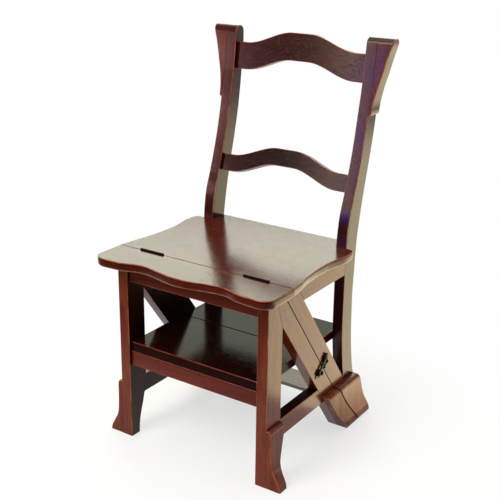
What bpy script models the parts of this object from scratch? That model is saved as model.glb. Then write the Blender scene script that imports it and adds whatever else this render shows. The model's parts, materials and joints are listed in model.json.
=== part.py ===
"""Library step chair: a chair whose back and rear seat turn over to make steps.

Two rigid wooden units meet along a sloping split line and are joined by two
butt hinges let into the seat. A small hook on each side holds them together.
Metres, +Z up, the chair faces -Y, and the origin is under the middle of it.
"""
import math

import bmesh
import bpy
from mathutils import Matrix, Vector

# Overall sizes of the chair
SEAT_TOP = 0.450
HINGE_RISE = 0.001
FRAME_WIDTH = 0.394
SEAT_OVERHANG = 0.030
SEAT_WIDTH = FRAME_WIDTH + 2 * SEAT_OVERHANG
SEAT_FRONT_REACH = 0.093
BACK_REACH = 0.400
BOARD = 0.026
FIT = 0.0003
SEAM = 0.001
OVERRUN = 0.010

# The hinge axis, and the height that turns over onto the floor
HINGE_Z = SEAT_TOP + HINGE_RISE
TOTAL_HEIGHT = 2 * HINGE_Z
HINGE_Y = (SEAT_FRONT_REACH - BACK_REACH) / 2
FRAME_X = FRAME_WIDTH / 2
INNER_X = FRAME_X - BOARD
INSIDE_WIDTH = 2 * (INNER_X - FIT)

# The sloping split line between the units, and the diagonals beside it
SPLIT_SET_BACK = 0.007
SPLIT_FOOT_SHARE = 0.8225
SPLIT_RUN_PER_RISE = (BACK_REACH * SPLIT_FOOT_SHARE + SPLIT_SET_BACK) / HINGE_Z
FRONT_DIAGONAL_RUN = 0.055
REAR_DIAGONAL_RUN = 0.052

# Seat boards
SEAT_THICKNESS = 0.020
SEAT_CORNER = 0.028
WING_CORNER = 0.016
SEAT_REAR_INSET = 0.0055
FRONT_EDGE_SHARES = (
    (0.0, 1.0), (0.08, 0.990), (0.16, 0.955), (0.25, 0.905), (0.34, 0.858),
    (0.42, 0.830), (0.475, 0.828), (0.53, 0.855), (0.60, 0.920), (0.67, 0.962),
    (0.76, 0.985), (0.88, 1.0),
)
SIDE_WAVE_SHARES = (
    (0.0, 1.0), (0.13, 0.978), (0.27, 0.945), (0.41, 0.929), (0.52, 0.928),
    (0.63, 0.946), (0.745, 0.972), (0.86, 0.970),
)
SEAT_UNDERSIDE = SEAT_TOP - SEAT_THICKNESS

# Front legs
LEG_DEPTH = 0.0555
LEG_SET_FORWARD = 0.046
FRONT_LEDGE = 0.138
LEG_TAPER_SHARES = (
    (0.0, 0.50), (0.125, 0.52), (0.21, 0.545), (0.30, 0.595), (0.42, 0.68),
    (0.53, 0.77), (0.65, 0.85), (0.775, 0.925), (0.86, 0.972), (1.0, 1.0),
)
LEG_TOP_DEPTH = 0.028

# Rear legs that run on as back posts, in shares of height and of back reach
POST_FRONT_SHARES = (
    (0.0, 0.790), (0.070, 0.750), (0.137, 0.7225), (0.197, 0.700), (0.256, 0.685),
    (0.324, 0.680), (0.427, 0.679), (0.499, 0.680), (0.565, 0.6975), (0.621, 0.741),
    (0.673, 0.780), (0.744, 0.825), (0.818, 0.861), (0.890, 0.893), (0.962, 0.915),
    (1.0, 0.925),
)
POST_REAR_SHARES = (
    (0.0, 0.972), (0.028, 0.947), (0.055, 0.920), (0.083, 0.899), (0.106, 0.8775),
    (0.1275, 0.8475), (0.186, 0.8175), (0.258, 0.796), (0.316, 0.790), (0.3725, 0.7865),
    (0.401, 0.7915), (0.491, 0.8025), (0.578, 0.835), (0.643, 0.870), (0.7195, 0.915),
    (0.794, 0.9525), (0.885, 0.9825), (0.960, 1.0), (1.0, 1.0),
)
FOOT_JOINT_DEPTH = 0.034

# Flared pads on the feet and blocks at the post tops
REAR_LEDGE = 0.116
FOOT_FLARE = 0.038
REAR_FOOT_FLARE = 0.0265
FOOT_FLARE_SHARES = (
    (0.0, 1.0), (0.07, 0.965), (0.15, 0.83), (0.24, 0.64), (0.32, 0.49), (0.40, 0.405),
    (0.53, 0.355), (0.70, 0.33), (0.90, 0.322), (0.94, 0.310), (0.97, 0.270),
    (0.99, 0.205), (1.0, 0.12),
)
REAR_FLARE_SHARES = (
    (0.0, 0.955), (0.09, 1.0), (0.155, 0.985), (0.25, 0.88), (0.36, 0.755), (0.48, 0.665),
    (0.62, 0.62), (0.78, 0.635), (0.87, 0.675), (0.92, 0.685), (0.955, 0.645),
    (0.985, 0.535), (1.0, 0.40),
)
SHOULDER_SHARE = 0.90
EAR_LENGTH = 0.166
EAR_FLARE = 0.040
EAR_FLARE_SHARES = (
    (0.0, 0.12), (0.03, 0.17), (0.12, 0.18), (0.30, 0.28), (0.50, 0.47),
    (0.76, 0.73), (0.92, 0.93), (1.0, 1.0),
)

# Aprons, rails and shelves
APRON_HEIGHT = 0.044
RAIL_THICKNESS = 0.020
RAIL_SET_IN = 0.008
SHELF_TOP = 0.241
SHELF_THICKNESS = 0.022
SHELF_RAIL_HEIGHT = 0.0365
SHELF_END_INSET = 0.001
SIDE_RAIL_BOTTOM = 0.097
SIDE_RAIL_HEIGHT = 0.044
REAR_APRON_INSET = 0.008
STEP_BOARD_TOP = 0.066
STEP_BOARD_THICKNESS = 0.016
STEP_BOARD_REAR_SHARE = 0.89
GLUE_BLOCK_LEG = 0.024
GLUE_BLOCK_HEIGHT = 0.034

# Back rails
CREST_DROP = 0.037
CREST_RISE = 0.031
CREST_HEIGHT = 0.0625
CREST_SET_IN = 0.010
MID_DROP = 0.297
MID_RISE = 0.031
MID_HEIGHT = 0.0385
MID_SET_IN = 0.008
BACK_RAIL_THICKNESS = 0.020
WAVE_FLAT_SHARE = 0.14
WAVE_END_SHARE = 0.84

# Butt hinges
HINGE_PLACE_SHARE = 0.6013
HINGE_CENTRE_X = SEAT_WIDTH / 2 * HINGE_PLACE_SHARE
HINGE_LENGTH = 0.062
BARREL_RADIUS = 0.0032
PIN_RADIUS = 0.0014
RUNNING_FIT = 0.00005
LEAF_THICKNESS = 0.002
LEAF_HEIGHT = 0.0155
KNUCKLES = 5
KNUCKLE_GAP = 0.0004
HINGE_SCREW_SPREAD = 0.036
HINGE_SCREW_DROP = 0.0095
HINGE_SCREW_LENGTH = 0.014
SCREW_HEAD_RADIUS = 0.0029
SCREW_SHANK_RADIUS = 0.0014

# Hook latch on each side
PIVOT_HEIGHT = 0.184
PIVOT_ACROSS_SHARE = 0.5
STUD_HEIGHT = 0.2115
STUD_ACROSS_SHARE = 0.4
PLATE_RADIUS = 0.0125
PLATE_THICKNESS = 0.0015
PLATE_LOBE_SHARE = 0.14
PLATE_LOBES = 5
HOOK_THICKNESS = 0.003
HOOK_WIDTH = 0.0062
HOOK_EYE_RADIUS = 0.0060
HOOK_HEAD_RADIUS = 0.0074
HOOK_TIP_RADIUS = 0.0036
HOOK_TIP_REACH = 0.0090
THROAT_FLARE_SHARE = 1.5
STUD_RADIUS = 0.0024
STUD_HEAD_RADIUS = 0.0038
STUD_HEAD_THICKNESS = 0.0012
PIVOT_RADIUS = 0.0020
PIVOT_HEAD_RADIUS = 0.0042
PIVOT_HEAD_THICKNESS = 0.0016
PIVOT_DEPTH = 0.010
PLATE_SCREW_OFFSET = 0.0082
PLATE_SCREW_HEAD_RADIUS = 0.0022
PLATE_SCREW_LENGTH = 0.009
PLATE_SCREW_SHANK_RADIUS = 0.0010

# How finely round shapes are drawn
CURVE_STEPS = 26
ARC_STEPS = 6
ROUND_SIDES = 20
SCREW_SIDES = 12

WOOD = ((0.135, 0.028, 0.018), 0.32, 0.0)
IRON = ((0.020, 0.019, 0.018), 0.42, 0.9)

parts = bpy.data.collections.new("library_step_chair")
cutters = bpy.data.collections.new("cutters")


# Lines that several pieces share

def smooth(shares, t):
    """Value at t of a smooth line through (position, value) shares, without overshoot."""
    count = len(shares)
    steps = [shares[i + 1][0] - shares[i][0] for i in range(count - 1)]
    slopes = [(shares[i + 1][1] - shares[i][1]) / steps[i] for i in range(count - 1)]
    tangents = [slopes[0]]
    for i in range(1, count - 1):
        same_way = slopes[i - 1] * slopes[i] > 0
        mean = 2 * slopes[i - 1] * slopes[i] / (slopes[i - 1] + slopes[i]) if same_way else 0.0
        tangents.append(mean)
    tangents.append(slopes[-1])
    t = min(max(t, shares[0][0]), shares[-1][0])
    i = 0
    while i < count - 2 and t > shares[i + 1][0]:
        i += 1
    u = (t - shares[i][0]) / steps[i]
    start = (1 + 2 * u) * (1 - u) ** 2 * shares[i][1] + u * (1 - u) ** 2 * steps[i] * tangents[i]
    end = u * u * (3 - 2 * u) * shares[i + 1][1] - u * u * (1 - u) * steps[i] * tangents[i + 1]
    return start + end


def split_y(z):
    """Y of the split line between the units at height z, from the hinge line."""
    return (HINGE_Z - z) * SPLIT_RUN_PER_RISE - SPLIT_SET_BACK


def front_diagonal_y(z):
    """Y of the front diagonal's front edge."""
    return split_y(z) - FRONT_DIAGONAL_RUN


def rear_diagonal_y(z):
    """Y of the rear diagonal's rear edge."""
    return split_y(z) + REAR_DIAGONAL_RUN


def leg_rear_y(z):
    """Y of the front leg's rear edge, which draws in towards the floor."""
    return LEG_DEPTH * smooth(LEG_TAPER_SHARES, z / FRONT_LEDGE) - LEG_SET_FORWARD


def post_front_y(z):
    """Y of the rear leg's and back post's front edge."""
    return BACK_REACH * smooth(POST_FRONT_SHARES, z / TOTAL_HEIGHT)


def post_rear_y(z):
    """Y of the rear leg's and back post's rear edge."""
    return BACK_REACH * smooth(POST_REAR_SHARES, z / TOTAL_HEIGHT)


def meeting_height(line_a, line_b, low, high):
    """Height at which two edges cross, between low and high."""
    for _ in range(60):
        middle = (low + high) / 2
        if (line_a(middle) - line_b(middle)) * (line_a(low) - line_b(low)) > 0:
            low = middle
        else:
            high = middle
    return (low + high) / 2


PIVOT_POINT = (split_y(PIVOT_HEIGHT) - FRONT_DIAGONAL_RUN * PIVOT_ACROSS_SHARE, PIVOT_HEIGHT)
STUD_POINT = (split_y(STUD_HEIGHT) + REAR_DIAGONAL_RUN * STUD_ACROSS_SHARE, STUD_HEIGHT)
LATCH_SPAN = math.dist(PIVOT_POINT, STUD_POINT)
LATCH_SLOPE = math.atan2(STUD_POINT[1] - PIVOT_POINT[1], STUD_POINT[0] - PIVOT_POINT[0])
LEG_CROTCH_Z = meeting_height(front_diagonal_y, leg_rear_y, SHELF_TOP, SEAT_UNDERSIDE)
FOOT_CROTCH_Z = meeting_height(rear_diagonal_y, post_front_y, STEP_BOARD_TOP, SHELF_TOP)


def spread(low, high, count):
    """Evenly spaced values from low to high, both included."""
    return [low + (high - low) * i / count for i in range(count + 1)]


def arc(centre, radius, start, end, steps=ARC_STEPS):
    """Points on an arc, with angles in degrees."""
    angles = [math.radians(a) for a in spread(start, end, steps)]
    return [(centre[0] + radius * math.cos(a), centre[1] + radius * math.sin(a)) for a in angles]


# Turning outlines into solids

PLANES = {
    "side": Matrix(((0, 0, 1), (1, 0, 0), (0, 1, 0))),
    "front": Matrix(((1, 0, 0), (0, 0, -1), (0, 1, 0))),
    "plan": Matrix(((1, 0, 0), (0, 1, 0), (0, 0, 1))),
}


def prism(name, outline, thickness, plane, centre=(0, 0, 0), group=parts):
    """Solid of a flat outline, drawn in the named plane and centred on it."""
    curve = bpy.data.curves.new(name, "CURVE")
    curve.dimensions = "2D"
    curve.fill_mode = "BOTH"
    curve.extrude = thickness / 2
    spline = curve.splines.new("POLY")
    spline.points.add(len(outline) - 1)
    for point, place in zip(spline.points, outline):
        point.co = (place[0], place[1], 0, 1)
    spline.use_cyclic_u = True
    guide = bpy.data.objects.new(name + "_outline", curve)
    guide.matrix_world = Matrix.Translation(centre) @ PLANES[plane].to_4x4()
    bpy.context.scene.collection.objects.link(guide)
    bpy.context.view_layer.update()
    evaluated = guide.evaluated_get(bpy.context.evaluated_depsgraph_get())
    mesh = bpy.data.meshes.new_from_object(evaluated)
    solid = bmesh.new()
    solid.from_mesh(mesh)
    bmesh.ops.remove_doubles(solid, verts=solid.verts, dist=FIT / 100)
    bmesh.ops.recalc_face_normals(solid, faces=solid.faces)
    solid.to_mesh(mesh)
    solid.free()
    mesh.name = name
    obj = bpy.data.objects.new(name, mesh)
    obj.matrix_world = guide.matrix_world
    group.objects.link(obj)
    bpy.data.objects.remove(guide)
    bpy.data.curves.remove(curve)
    return obj


def box(name, low, high, group=parts):
    """Rectangular board between two corners."""
    bpy.ops.mesh.primitive_cube_add(size=1)
    obj = bpy.context.object
    obj.name = name
    obj.data.name = name
    size = Vector(high) - Vector(low)
    middle = (Vector(high) + Vector(low)) / 2
    obj.data.transform(Matrix.Diagonal((*size, 1)))
    obj.location = middle
    move_to(obj, group)
    return obj


def rod(name, start, end, radius, end_radius=None, sides=ROUND_SIDES, group=parts):
    """Cylinder or cone from one point to another."""
    start = Vector(start)
    end = Vector(end)
    along = end - start
    other = radius if end_radius is None else end_radius
    mesh = bpy.data.meshes.new(name)
    solid = bmesh.new()
    bmesh.ops.create_cone(solid, cap_ends=True, segments=sides, radius1=radius, radius2=other,
                          depth=along.length)
    solid.to_mesh(mesh)
    solid.free()
    obj = bpy.data.objects.new(name, mesh)
    turn = Vector((0, 0, 1)).rotation_difference(along).to_matrix().to_4x4()
    obj.matrix_world = Matrix.Translation((start + end) / 2) @ turn
    group.objects.link(obj)
    return obj


def turned(name, profile, base, direction, sides=SCREW_SIDES, group=parts):
    """Turned piece: profile of (radius, distance along), from its top cap to its far end."""
    mesh = bpy.data.meshes.new(name)
    solid = bmesh.new()
    points = [solid.verts.new((radius, 0, -along)) for radius, along in profile]
    for first, second in zip(points, points[1:]):
        solid.edges.new((first, second))
    solid.to_mesh(mesh)
    solid.free()
    obj = bpy.data.objects.new(name, mesh)
    turn = Vector((0, 0, -1)).rotation_difference(Vector(direction)).to_matrix().to_4x4()
    obj.matrix_world = Matrix.Translation(base) @ turn
    group.objects.link(obj)
    screw = obj.modifiers.new("turn", "SCREW")
    screw.steps = sides
    screw.render_steps = sides
    screw.use_merge_vertices = True
    screw.merge_threshold = FIT / 100
    screw.use_smooth_shade = False
    return obj


def running_bore(radius):
    """Bore radius whose flats clear a turning pin of the given radius."""
    return (radius + RUNNING_FIT) / math.cos(math.pi / ROUND_SIDES)


def move_to(obj, group):
    """Keep an object in one collection only."""
    for owner in list(obj.users_collection):
        owner.objects.unlink(obj)
    group.objects.link(obj)


def combine(obj, other, operation):
    """Cut, join or intersect one solid with another, which becomes a guide."""
    move_to(other, cutters)
    other.hide_render = True
    other.display_type = "WIRE"
    step = obj.modifiers.new(operation.lower(), "BOOLEAN")
    step.operation = operation
    step.object = other
    return obj


def finish(obj, kind, owner):
    """Give a piece its own material and hang it on its unit."""
    colour, roughness, metallic = kind
    material = bpy.data.materials.new(obj.name + "_finish")
    material.use_nodes = True
    shader = material.node_tree.nodes["Principled BSDF"]
    shader.inputs["Base Color"].default_value = (*colour, 1)
    shader.inputs["Roughness"].default_value = roughness
    shader.inputs["Metallic"].default_value = metallic
    obj.data.materials.clear()
    obj.data.materials.append(material)
    obj.parent = owner
    return obj


def side_board(name, outline, owner, side):
    """Board of the side frame, with its outline in the side view."""
    middle = side * (FRAME_X + INNER_X) / 2
    return finish(prism(name, outline, BOARD, "side", (middle, 0, 0)), WOOD, owner)


def cross_board(name, outline, owner):
    """Board that runs across between the side frames, with its outline in the side view."""
    return finish(prism(name, outline, INSIDE_WIDTH, "side"), WOOD, owner)


# Seat boards and the hinge line

def seat_front_edge():
    """Right half of the front edge: a bulge, a hollow, a bulge and a round corner."""
    half = SEAT_WIDTH / 2
    last_share = (half - SEAT_CORNER) / half
    points = []
    for share in spread(0, last_share, CURVE_STEPS):
        points.append((half * share, -SEAT_FRONT_REACH * smooth(FRONT_EDGE_SHARES, share)))
    centre = (half - SEAT_CORNER, points[-1][1] + SEAT_CORNER)
    return points[:-1] + arc(centre, SEAT_CORNER, -90, 0)


def seat_side_edge():
    """Right half of the rear board's side: an S-curve, a round corner and the post notch."""
    half = SEAT_WIDTH / 2
    depth = post_rear_y(SEAT_TOP) - SEAT_REAR_INSET
    wing_rear = post_front_y(SEAT_TOP) - FIT
    points = []
    for y in spread(SEAM / 2, wing_rear - WING_CORNER, CURVE_STEPS):
        points.append((half * smooth(SIDE_WAVE_SHARES, y / depth), y))
    centre = (points[-1][0] - WING_CORNER, wing_rear - WING_CORNER)
    points = points[:-1] + arc(centre, WING_CORNER, 0, 90)
    return points + [(INNER_X - FIT, wing_rear), (INNER_X - FIT, depth)]


def mirrored(points):
    """A half outline and its mirror image, going round once."""
    return points + [(-x, y) for x, y in reversed(points) if x > 0]


def cut_hinge_seats(board, direction, name):
    """Let each hinge leaf, its knuckles and its screws into a seat board's edge."""
    for side in (1, -1):
        middle = side * HINGE_CENTRE_X
        reach = HINGE_LENGTH / 2 + FIT
        top = HINGE_Z - BARREL_RADIUS - FIT
        depth = SEAM / 2 + LEAF_THICKNESS
        y_ends = sorted((0, direction * depth))
        low = (middle - reach, y_ends[0], SEAT_TOP - LEAF_HEIGHT - FIT)
        high = (middle + reach, y_ends[1], SEAT_TOP + OVERRUN)
        combine(board, box(f"{name}_leaf_seat_{side}", low, high), "DIFFERENCE")
        y_ends = sorted((0, direction * (BARREL_RADIUS + FIT)))
        low = (middle - reach, y_ends[0], top)
        high = (middle + reach, y_ends[1], SEAT_TOP + OVERRUN)
        combine(board, box(f"{name}_barrel_seat_{side}", low, high), "DIFFERENCE")
        for place in (-1, 1):
            x = middle + place * HINGE_SCREW_SPREAD / 2
            z = SEAT_TOP - HINGE_SCREW_DROP
            start = (x, 0, z)
            end = (x, direction * (HINGE_SCREW_LENGTH + 2 * LEAF_THICKNESS), z)
            hole = rod(f"{name}_screw_hole_{side}_{place}", start, end,
                       SCREW_SHANK_RADIUS + FIT, sides=SCREW_SIDES)
            combine(board, hole, "DIFFERENCE")


def make_seat(front_unit, rear_unit):
    """Front strip and rear board of the seat."""
    middle = SEAT_TOP - SEAT_THICKNESS / 2
    half = SEAT_WIDTH / 2
    strip = mirrored(seat_front_edge() + [(half, -SEAM / 2)])
    front = prism("front_seat_board", strip, SEAT_THICKNESS, "plan", (0, 0, middle))
    cut_hinge_seats(front, -1, "front")
    finish(front, WOOD, front_unit)
    rear = prism("rear_seat_board", mirrored(seat_side_edge()), SEAT_THICKNESS, "plan",
                 (0, 0, middle))
    cut_hinge_seats(rear, 1, "rear")
    finish(rear, WOOD, rear_unit)


def hinge_leaf(name, middle, direction, own_knuckles):
    """Hinge leaf with its knuckles round the axis, as one piece."""
    pitch = HINGE_LENGTH / KNUCKLES
    inner = direction * SEAM / 4
    outer = direction * (SEAM / 4 + LEAF_THICKNESS)
    y_ends = sorted((inner, outer))
    neck_ends = (y_ends[0] + FIT / 3, y_ends[1] - FIT / 3)
    plate_top = HINGE_Z - BARREL_RADIUS - FIT
    low = (middle - HINGE_LENGTH / 2, y_ends[0], SEAT_TOP - LEAF_HEIGHT)
    leaf = box(name, low, (middle + HINGE_LENGTH / 2, y_ends[1], plate_top))
    for index in own_knuckles:
        start = middle - HINGE_LENGTH / 2 + index * pitch + KNUCKLE_GAP / 2
        end = start + pitch - KNUCKLE_GAP
        low = (start + FIT / 3, neck_ends[0], plate_top - LEAF_THICKNESS)
        high = (end - FIT / 3, neck_ends[1], HINGE_Z - PIN_RADIUS)
        combine(leaf, box(f"{name}_neck_{index}", low, high), "UNION")
        knuckle = rod(f"{name}_knuckle_{index}", (start, 0, HINGE_Z), (end, 0, HINGE_Z),
                      BARREL_RADIUS)
        combine(leaf, knuckle, "UNION")
    reach = HINGE_LENGTH / 2 + OVERRUN
    bore = rod(f"{name}_bore", (middle - reach, 0, HINGE_Z), (middle + reach, 0, HINGE_Z),
               running_bore(PIN_RADIUS))
    combine(leaf, bore, "DIFFERENCE")
    for place in (-1, 1):
        x = middle + place * HINGE_SCREW_SPREAD / 2
        z = SEAT_TOP - HINGE_SCREW_DROP
        sink = rod(f"{name}_sink_{place}", (x, inner - direction * FIT, z),
                   (x, outer + direction * FIT, z), SCREW_HEAD_RADIUS + 2 * FIT,
                   SCREW_SHANK_RADIUS + FIT / 2, sides=SCREW_SIDES)
        combine(leaf, sink, "DIFFERENCE")
    return leaf


def hinge_screw(name, x, direction):
    """Countersunk screw through a leaf into the seat board's edge."""
    profile = (
        (0, 0), (SCREW_HEAD_RADIUS, 0), (SCREW_SHANK_RADIUS - FIT / 3, LEAF_THICKNESS),
        (SCREW_SHANK_RADIUS - FIT / 3, HINGE_SCREW_LENGTH - LEAF_THICKNESS),
        (0, HINGE_SCREW_LENGTH),
    )
    base = (x, direction * (SEAM / 4 + FIT / 2), SEAT_TOP - HINGE_SCREW_DROP)
    return turned(name, profile, base, (0, direction, 0))


def make_hinges(front_unit, rear_unit):
    """Two butt hinges with their pins and screws."""
    odd = range(0, KNUCKLES, 2)
    even = range(1, KNUCKLES, 2)
    for label, side in (("right", 1), ("left", -1)):
        middle = side * HINGE_CENTRE_X
        leaf = hinge_leaf(f"hinge_{label}_front_leaf", middle, -1, odd)
        finish(leaf, IRON, front_unit)
        leaf = hinge_leaf(f"hinge_{label}_rear_leaf", middle, 1, even)
        finish(leaf, IRON, rear_unit)
        reach = HINGE_LENGTH / 2 + FIT
        pin = rod(f"hinge_{label}_pin", (middle - reach, 0, HINGE_Z),
                  (middle + reach, 0, HINGE_Z), PIN_RADIUS)
        finish(pin, IRON, front_unit)
        for number, place in ((1, -1), (2, 1)):
            x = middle + place * HINGE_SCREW_SPREAD / 2
            screw = hinge_screw(f"hinge_{label}_front_screw_{number}", x, -1)
            finish(screw, IRON, front_unit)
            screw = hinge_screw(f"hinge_{label}_rear_screw_{number}", x, 1)
            finish(screw, IRON, rear_unit)


# Side frames

def leg_line(low, high, count=CURVE_STEPS // 2):
    """Points up the front leg's rear edge."""
    return [(leg_rear_y(z), z) for z in spread(low, high, count)]


def make_front_frame(label, side, unit):
    """Front leg, front diagonal and lower side rail of one side."""
    top = SEAT_UNDERSIDE - FIT
    leg_top_rear = LEG_TOP_DEPTH - LEG_SET_FORWARD
    leg = [(-LEG_SET_FORWARD, 0)] + leg_line(0, FRONT_LEDGE)
    leg += [(leg_rear_y(LEG_CROTCH_Z), LEG_CROTCH_Z), (leg_top_rear, top), (-LEG_SET_FORWARD, top)]
    side_board(f"front_leg_{label}", leg, unit, side)

    crotch_z = LEG_CROTCH_Z - FIT
    diagonal = [
        (front_diagonal_y(0), 0), (split_y(0) - FIT, 0), (split_y(top) - FIT, top),
        (leg_top_rear + FIT, top), (front_diagonal_y(crotch_z) + FIT, crotch_z),
    ]
    board = side_board(f"front_diagonal_{label}", diagonal, unit, side)
    pivot_y, pivot_z = latch_point(0)
    drill(board, side, pivot_y, pivot_z, PIVOT_RADIUS + FIT, PIVOT_DEPTH + FIT)
    screw_y, screw_z = latch_point(-PLATE_SCREW_OFFSET)
    drill(board, side, screw_y, screw_z, PLATE_SCREW_SHANK_RADIUS + FIT, PLATE_SCREW_LENGTH + FIT)

    low = SIDE_RAIL_BOTTOM
    high = SIDE_RAIL_BOTTOM + SIDE_RAIL_HEIGHT
    rail = [(y + FIT, z) for y, z in leg_line(low, high, ARC_STEPS)]
    rail += [(front_diagonal_y(high) - FIT, high), (front_diagonal_y(low) - FIT, low)]
    side_board(f"lower_side_rail_{label}", rail, unit, side)


def post_outline(low, high):
    """Rear leg and post in side view between two heights, with a rounded top."""
    crown = (post_rear_y(high) - post_front_y(high)) / 2
    rounded = high > TOTAL_HEIGHT - crown
    last = TOTAL_HEIGHT - crown if rounded else high
    steps = max(ARC_STEPS, round(2 * CURVE_STEPS * (last - low) / TOTAL_HEIGHT))
    front = [(post_front_y(z), z) for z in spread(low, last, steps)]
    rear = [(post_rear_y(z), z) for z in spread(low, last, steps)]
    cap = []
    if rounded:
        middle = ((front[-1][0] + rear[-1][0]) / 2, last)
        reach = (rear[-1][0] - front[-1][0]) / 2
        half_turn = arc((0, 0), 1, 0, 180, 2 * ARC_STEPS)[1:-1]
        cap = [(middle[0] + reach * x, last + crown * z) for x, z in half_turn]
    return front, rear, cap


def make_rear_frame(label, side, unit):
    """Rear leg with back post, rear diagonal and side apron of one side."""
    front, rear, cap = post_outline(FOOT_CROTCH_Z, TOTAL_HEIGHT)
    foot_joint = post_rear_y(0) - FOOT_JOINT_DEPTH
    _, foot_rear, _ = post_outline(0, FOOT_CROTCH_Z)
    leg = foot_rear[:-1] + rear + cap + list(reversed(front)) + [(foot_joint + FIT, 0)]
    side_board(f"rear_leg_{label}", leg, unit, side)

    top = SEAT_UNDERSIDE - FIT
    crotch = (rear_diagonal_y(FOOT_CROTCH_Z) - 2 * FIT, FOOT_CROTCH_Z)
    diagonal = [
        (split_y(0) + FIT, 0), (foot_joint - FIT, 0), crotch,
        (rear_diagonal_y(top), top), (split_y(top) + FIT, top),
    ]
    board = side_board(f"rear_diagonal_{label}", diagonal, unit, side)
    screw_y, screw_z = latch_point(LATCH_SPAN + PLATE_SCREW_OFFSET)
    drill(board, side, screw_y, screw_z, PLATE_SCREW_SHANK_RADIUS + FIT, PLATE_SCREW_LENGTH + FIT)

    low = SEAT_UNDERSIDE - APRON_HEIGHT
    leg_front = min(post_front_y(z) for z in spread(low, top, ARC_STEPS)) - FIT
    apron = [
        (rear_diagonal_y(low) + 2 * FIT, low), (leg_front, low), (leg_front, top),
        (rear_diagonal_y(top) + 2 * FIT, top),
    ]
    side_board(f"side_apron_{label}", apron, unit, side)


def flared(name, shares, flare, low, high, outline, side, unit):
    """Block on the frame's outer face: a flared front view cut to a side outline."""
    heights = spread(0, SHOULDER_SHARE, CURVE_STEPS)
    heights += spread(SHOULDER_SHARE, 1, 2 * ARC_STEPS)[1:]
    inner = side * (FRAME_X + FIT)
    face = [(side * (FRAME_X + flare * smooth(shares, t)), low + (high - low) * t) for t in heights]
    profile = [(inner, low)] + face + [(inner, high)]
    nearest = min(y for y, z in outline) - OVERRUN
    farthest = max(y for y, z in outline) + OVERRUN
    block = prism(name, profile, farthest - nearest, "front", (0, (nearest + farthest) / 2, 0))
    width = 2 * (flare + OVERRUN)
    middle = side * (FRAME_X + width / 2 - OVERRUN)
    guide = prism(name + "_side_view", outline, width, "side", (middle, 0, 0), cutters)
    combine(block, guide, "INTERSECT")
    return finish(block, WOOD, unit)


def make_pads(label, side, front_unit, rear_unit):
    """Flared foot pads and the blocks at the post tops of one side."""
    front_foot = [(-LEG_SET_FORWARD, 0)] + leg_line(0, FRONT_LEDGE)
    front_foot += [(-LEG_SET_FORWARD, FRONT_LEDGE)]
    flared(f"front_foot_pad_{label}", FOOT_FLARE_SHARES, FOOT_FLARE, 0, FRONT_LEDGE,
           front_foot, side, front_unit)

    ledge = REAR_LEDGE
    toe = [
        (front_diagonal_y(0), 0), (split_y(0) - FIT, 0), (split_y(ledge) - FIT, ledge),
        (front_diagonal_y(ledge), ledge),
    ]
    flared(f"diagonal_foot_pad_{label}", REAR_FLARE_SHARES, REAR_FOOT_FLARE, 0, ledge,
           toe, side, front_unit)

    _, rear_edge, _ = post_outline(0, ledge)
    heel = [(split_y(0) + FIT, 0)] + rear_edge + [(split_y(ledge) + FIT, ledge)]
    flared(f"rear_foot_pad_{label}", REAR_FLARE_SHARES, REAR_FOOT_FLARE, 0, ledge,
           heel, side, rear_unit)

    low = TOTAL_HEIGHT - EAR_LENGTH
    front, rear, cap = post_outline(low, TOTAL_HEIGHT)
    ear = rear + cap + list(reversed(front))
    flared(f"top_block_{label}", EAR_FLARE_SHARES, EAR_FLARE, low, TOTAL_HEIGHT,
           ear, side, rear_unit)


# Boards across the chair

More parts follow.
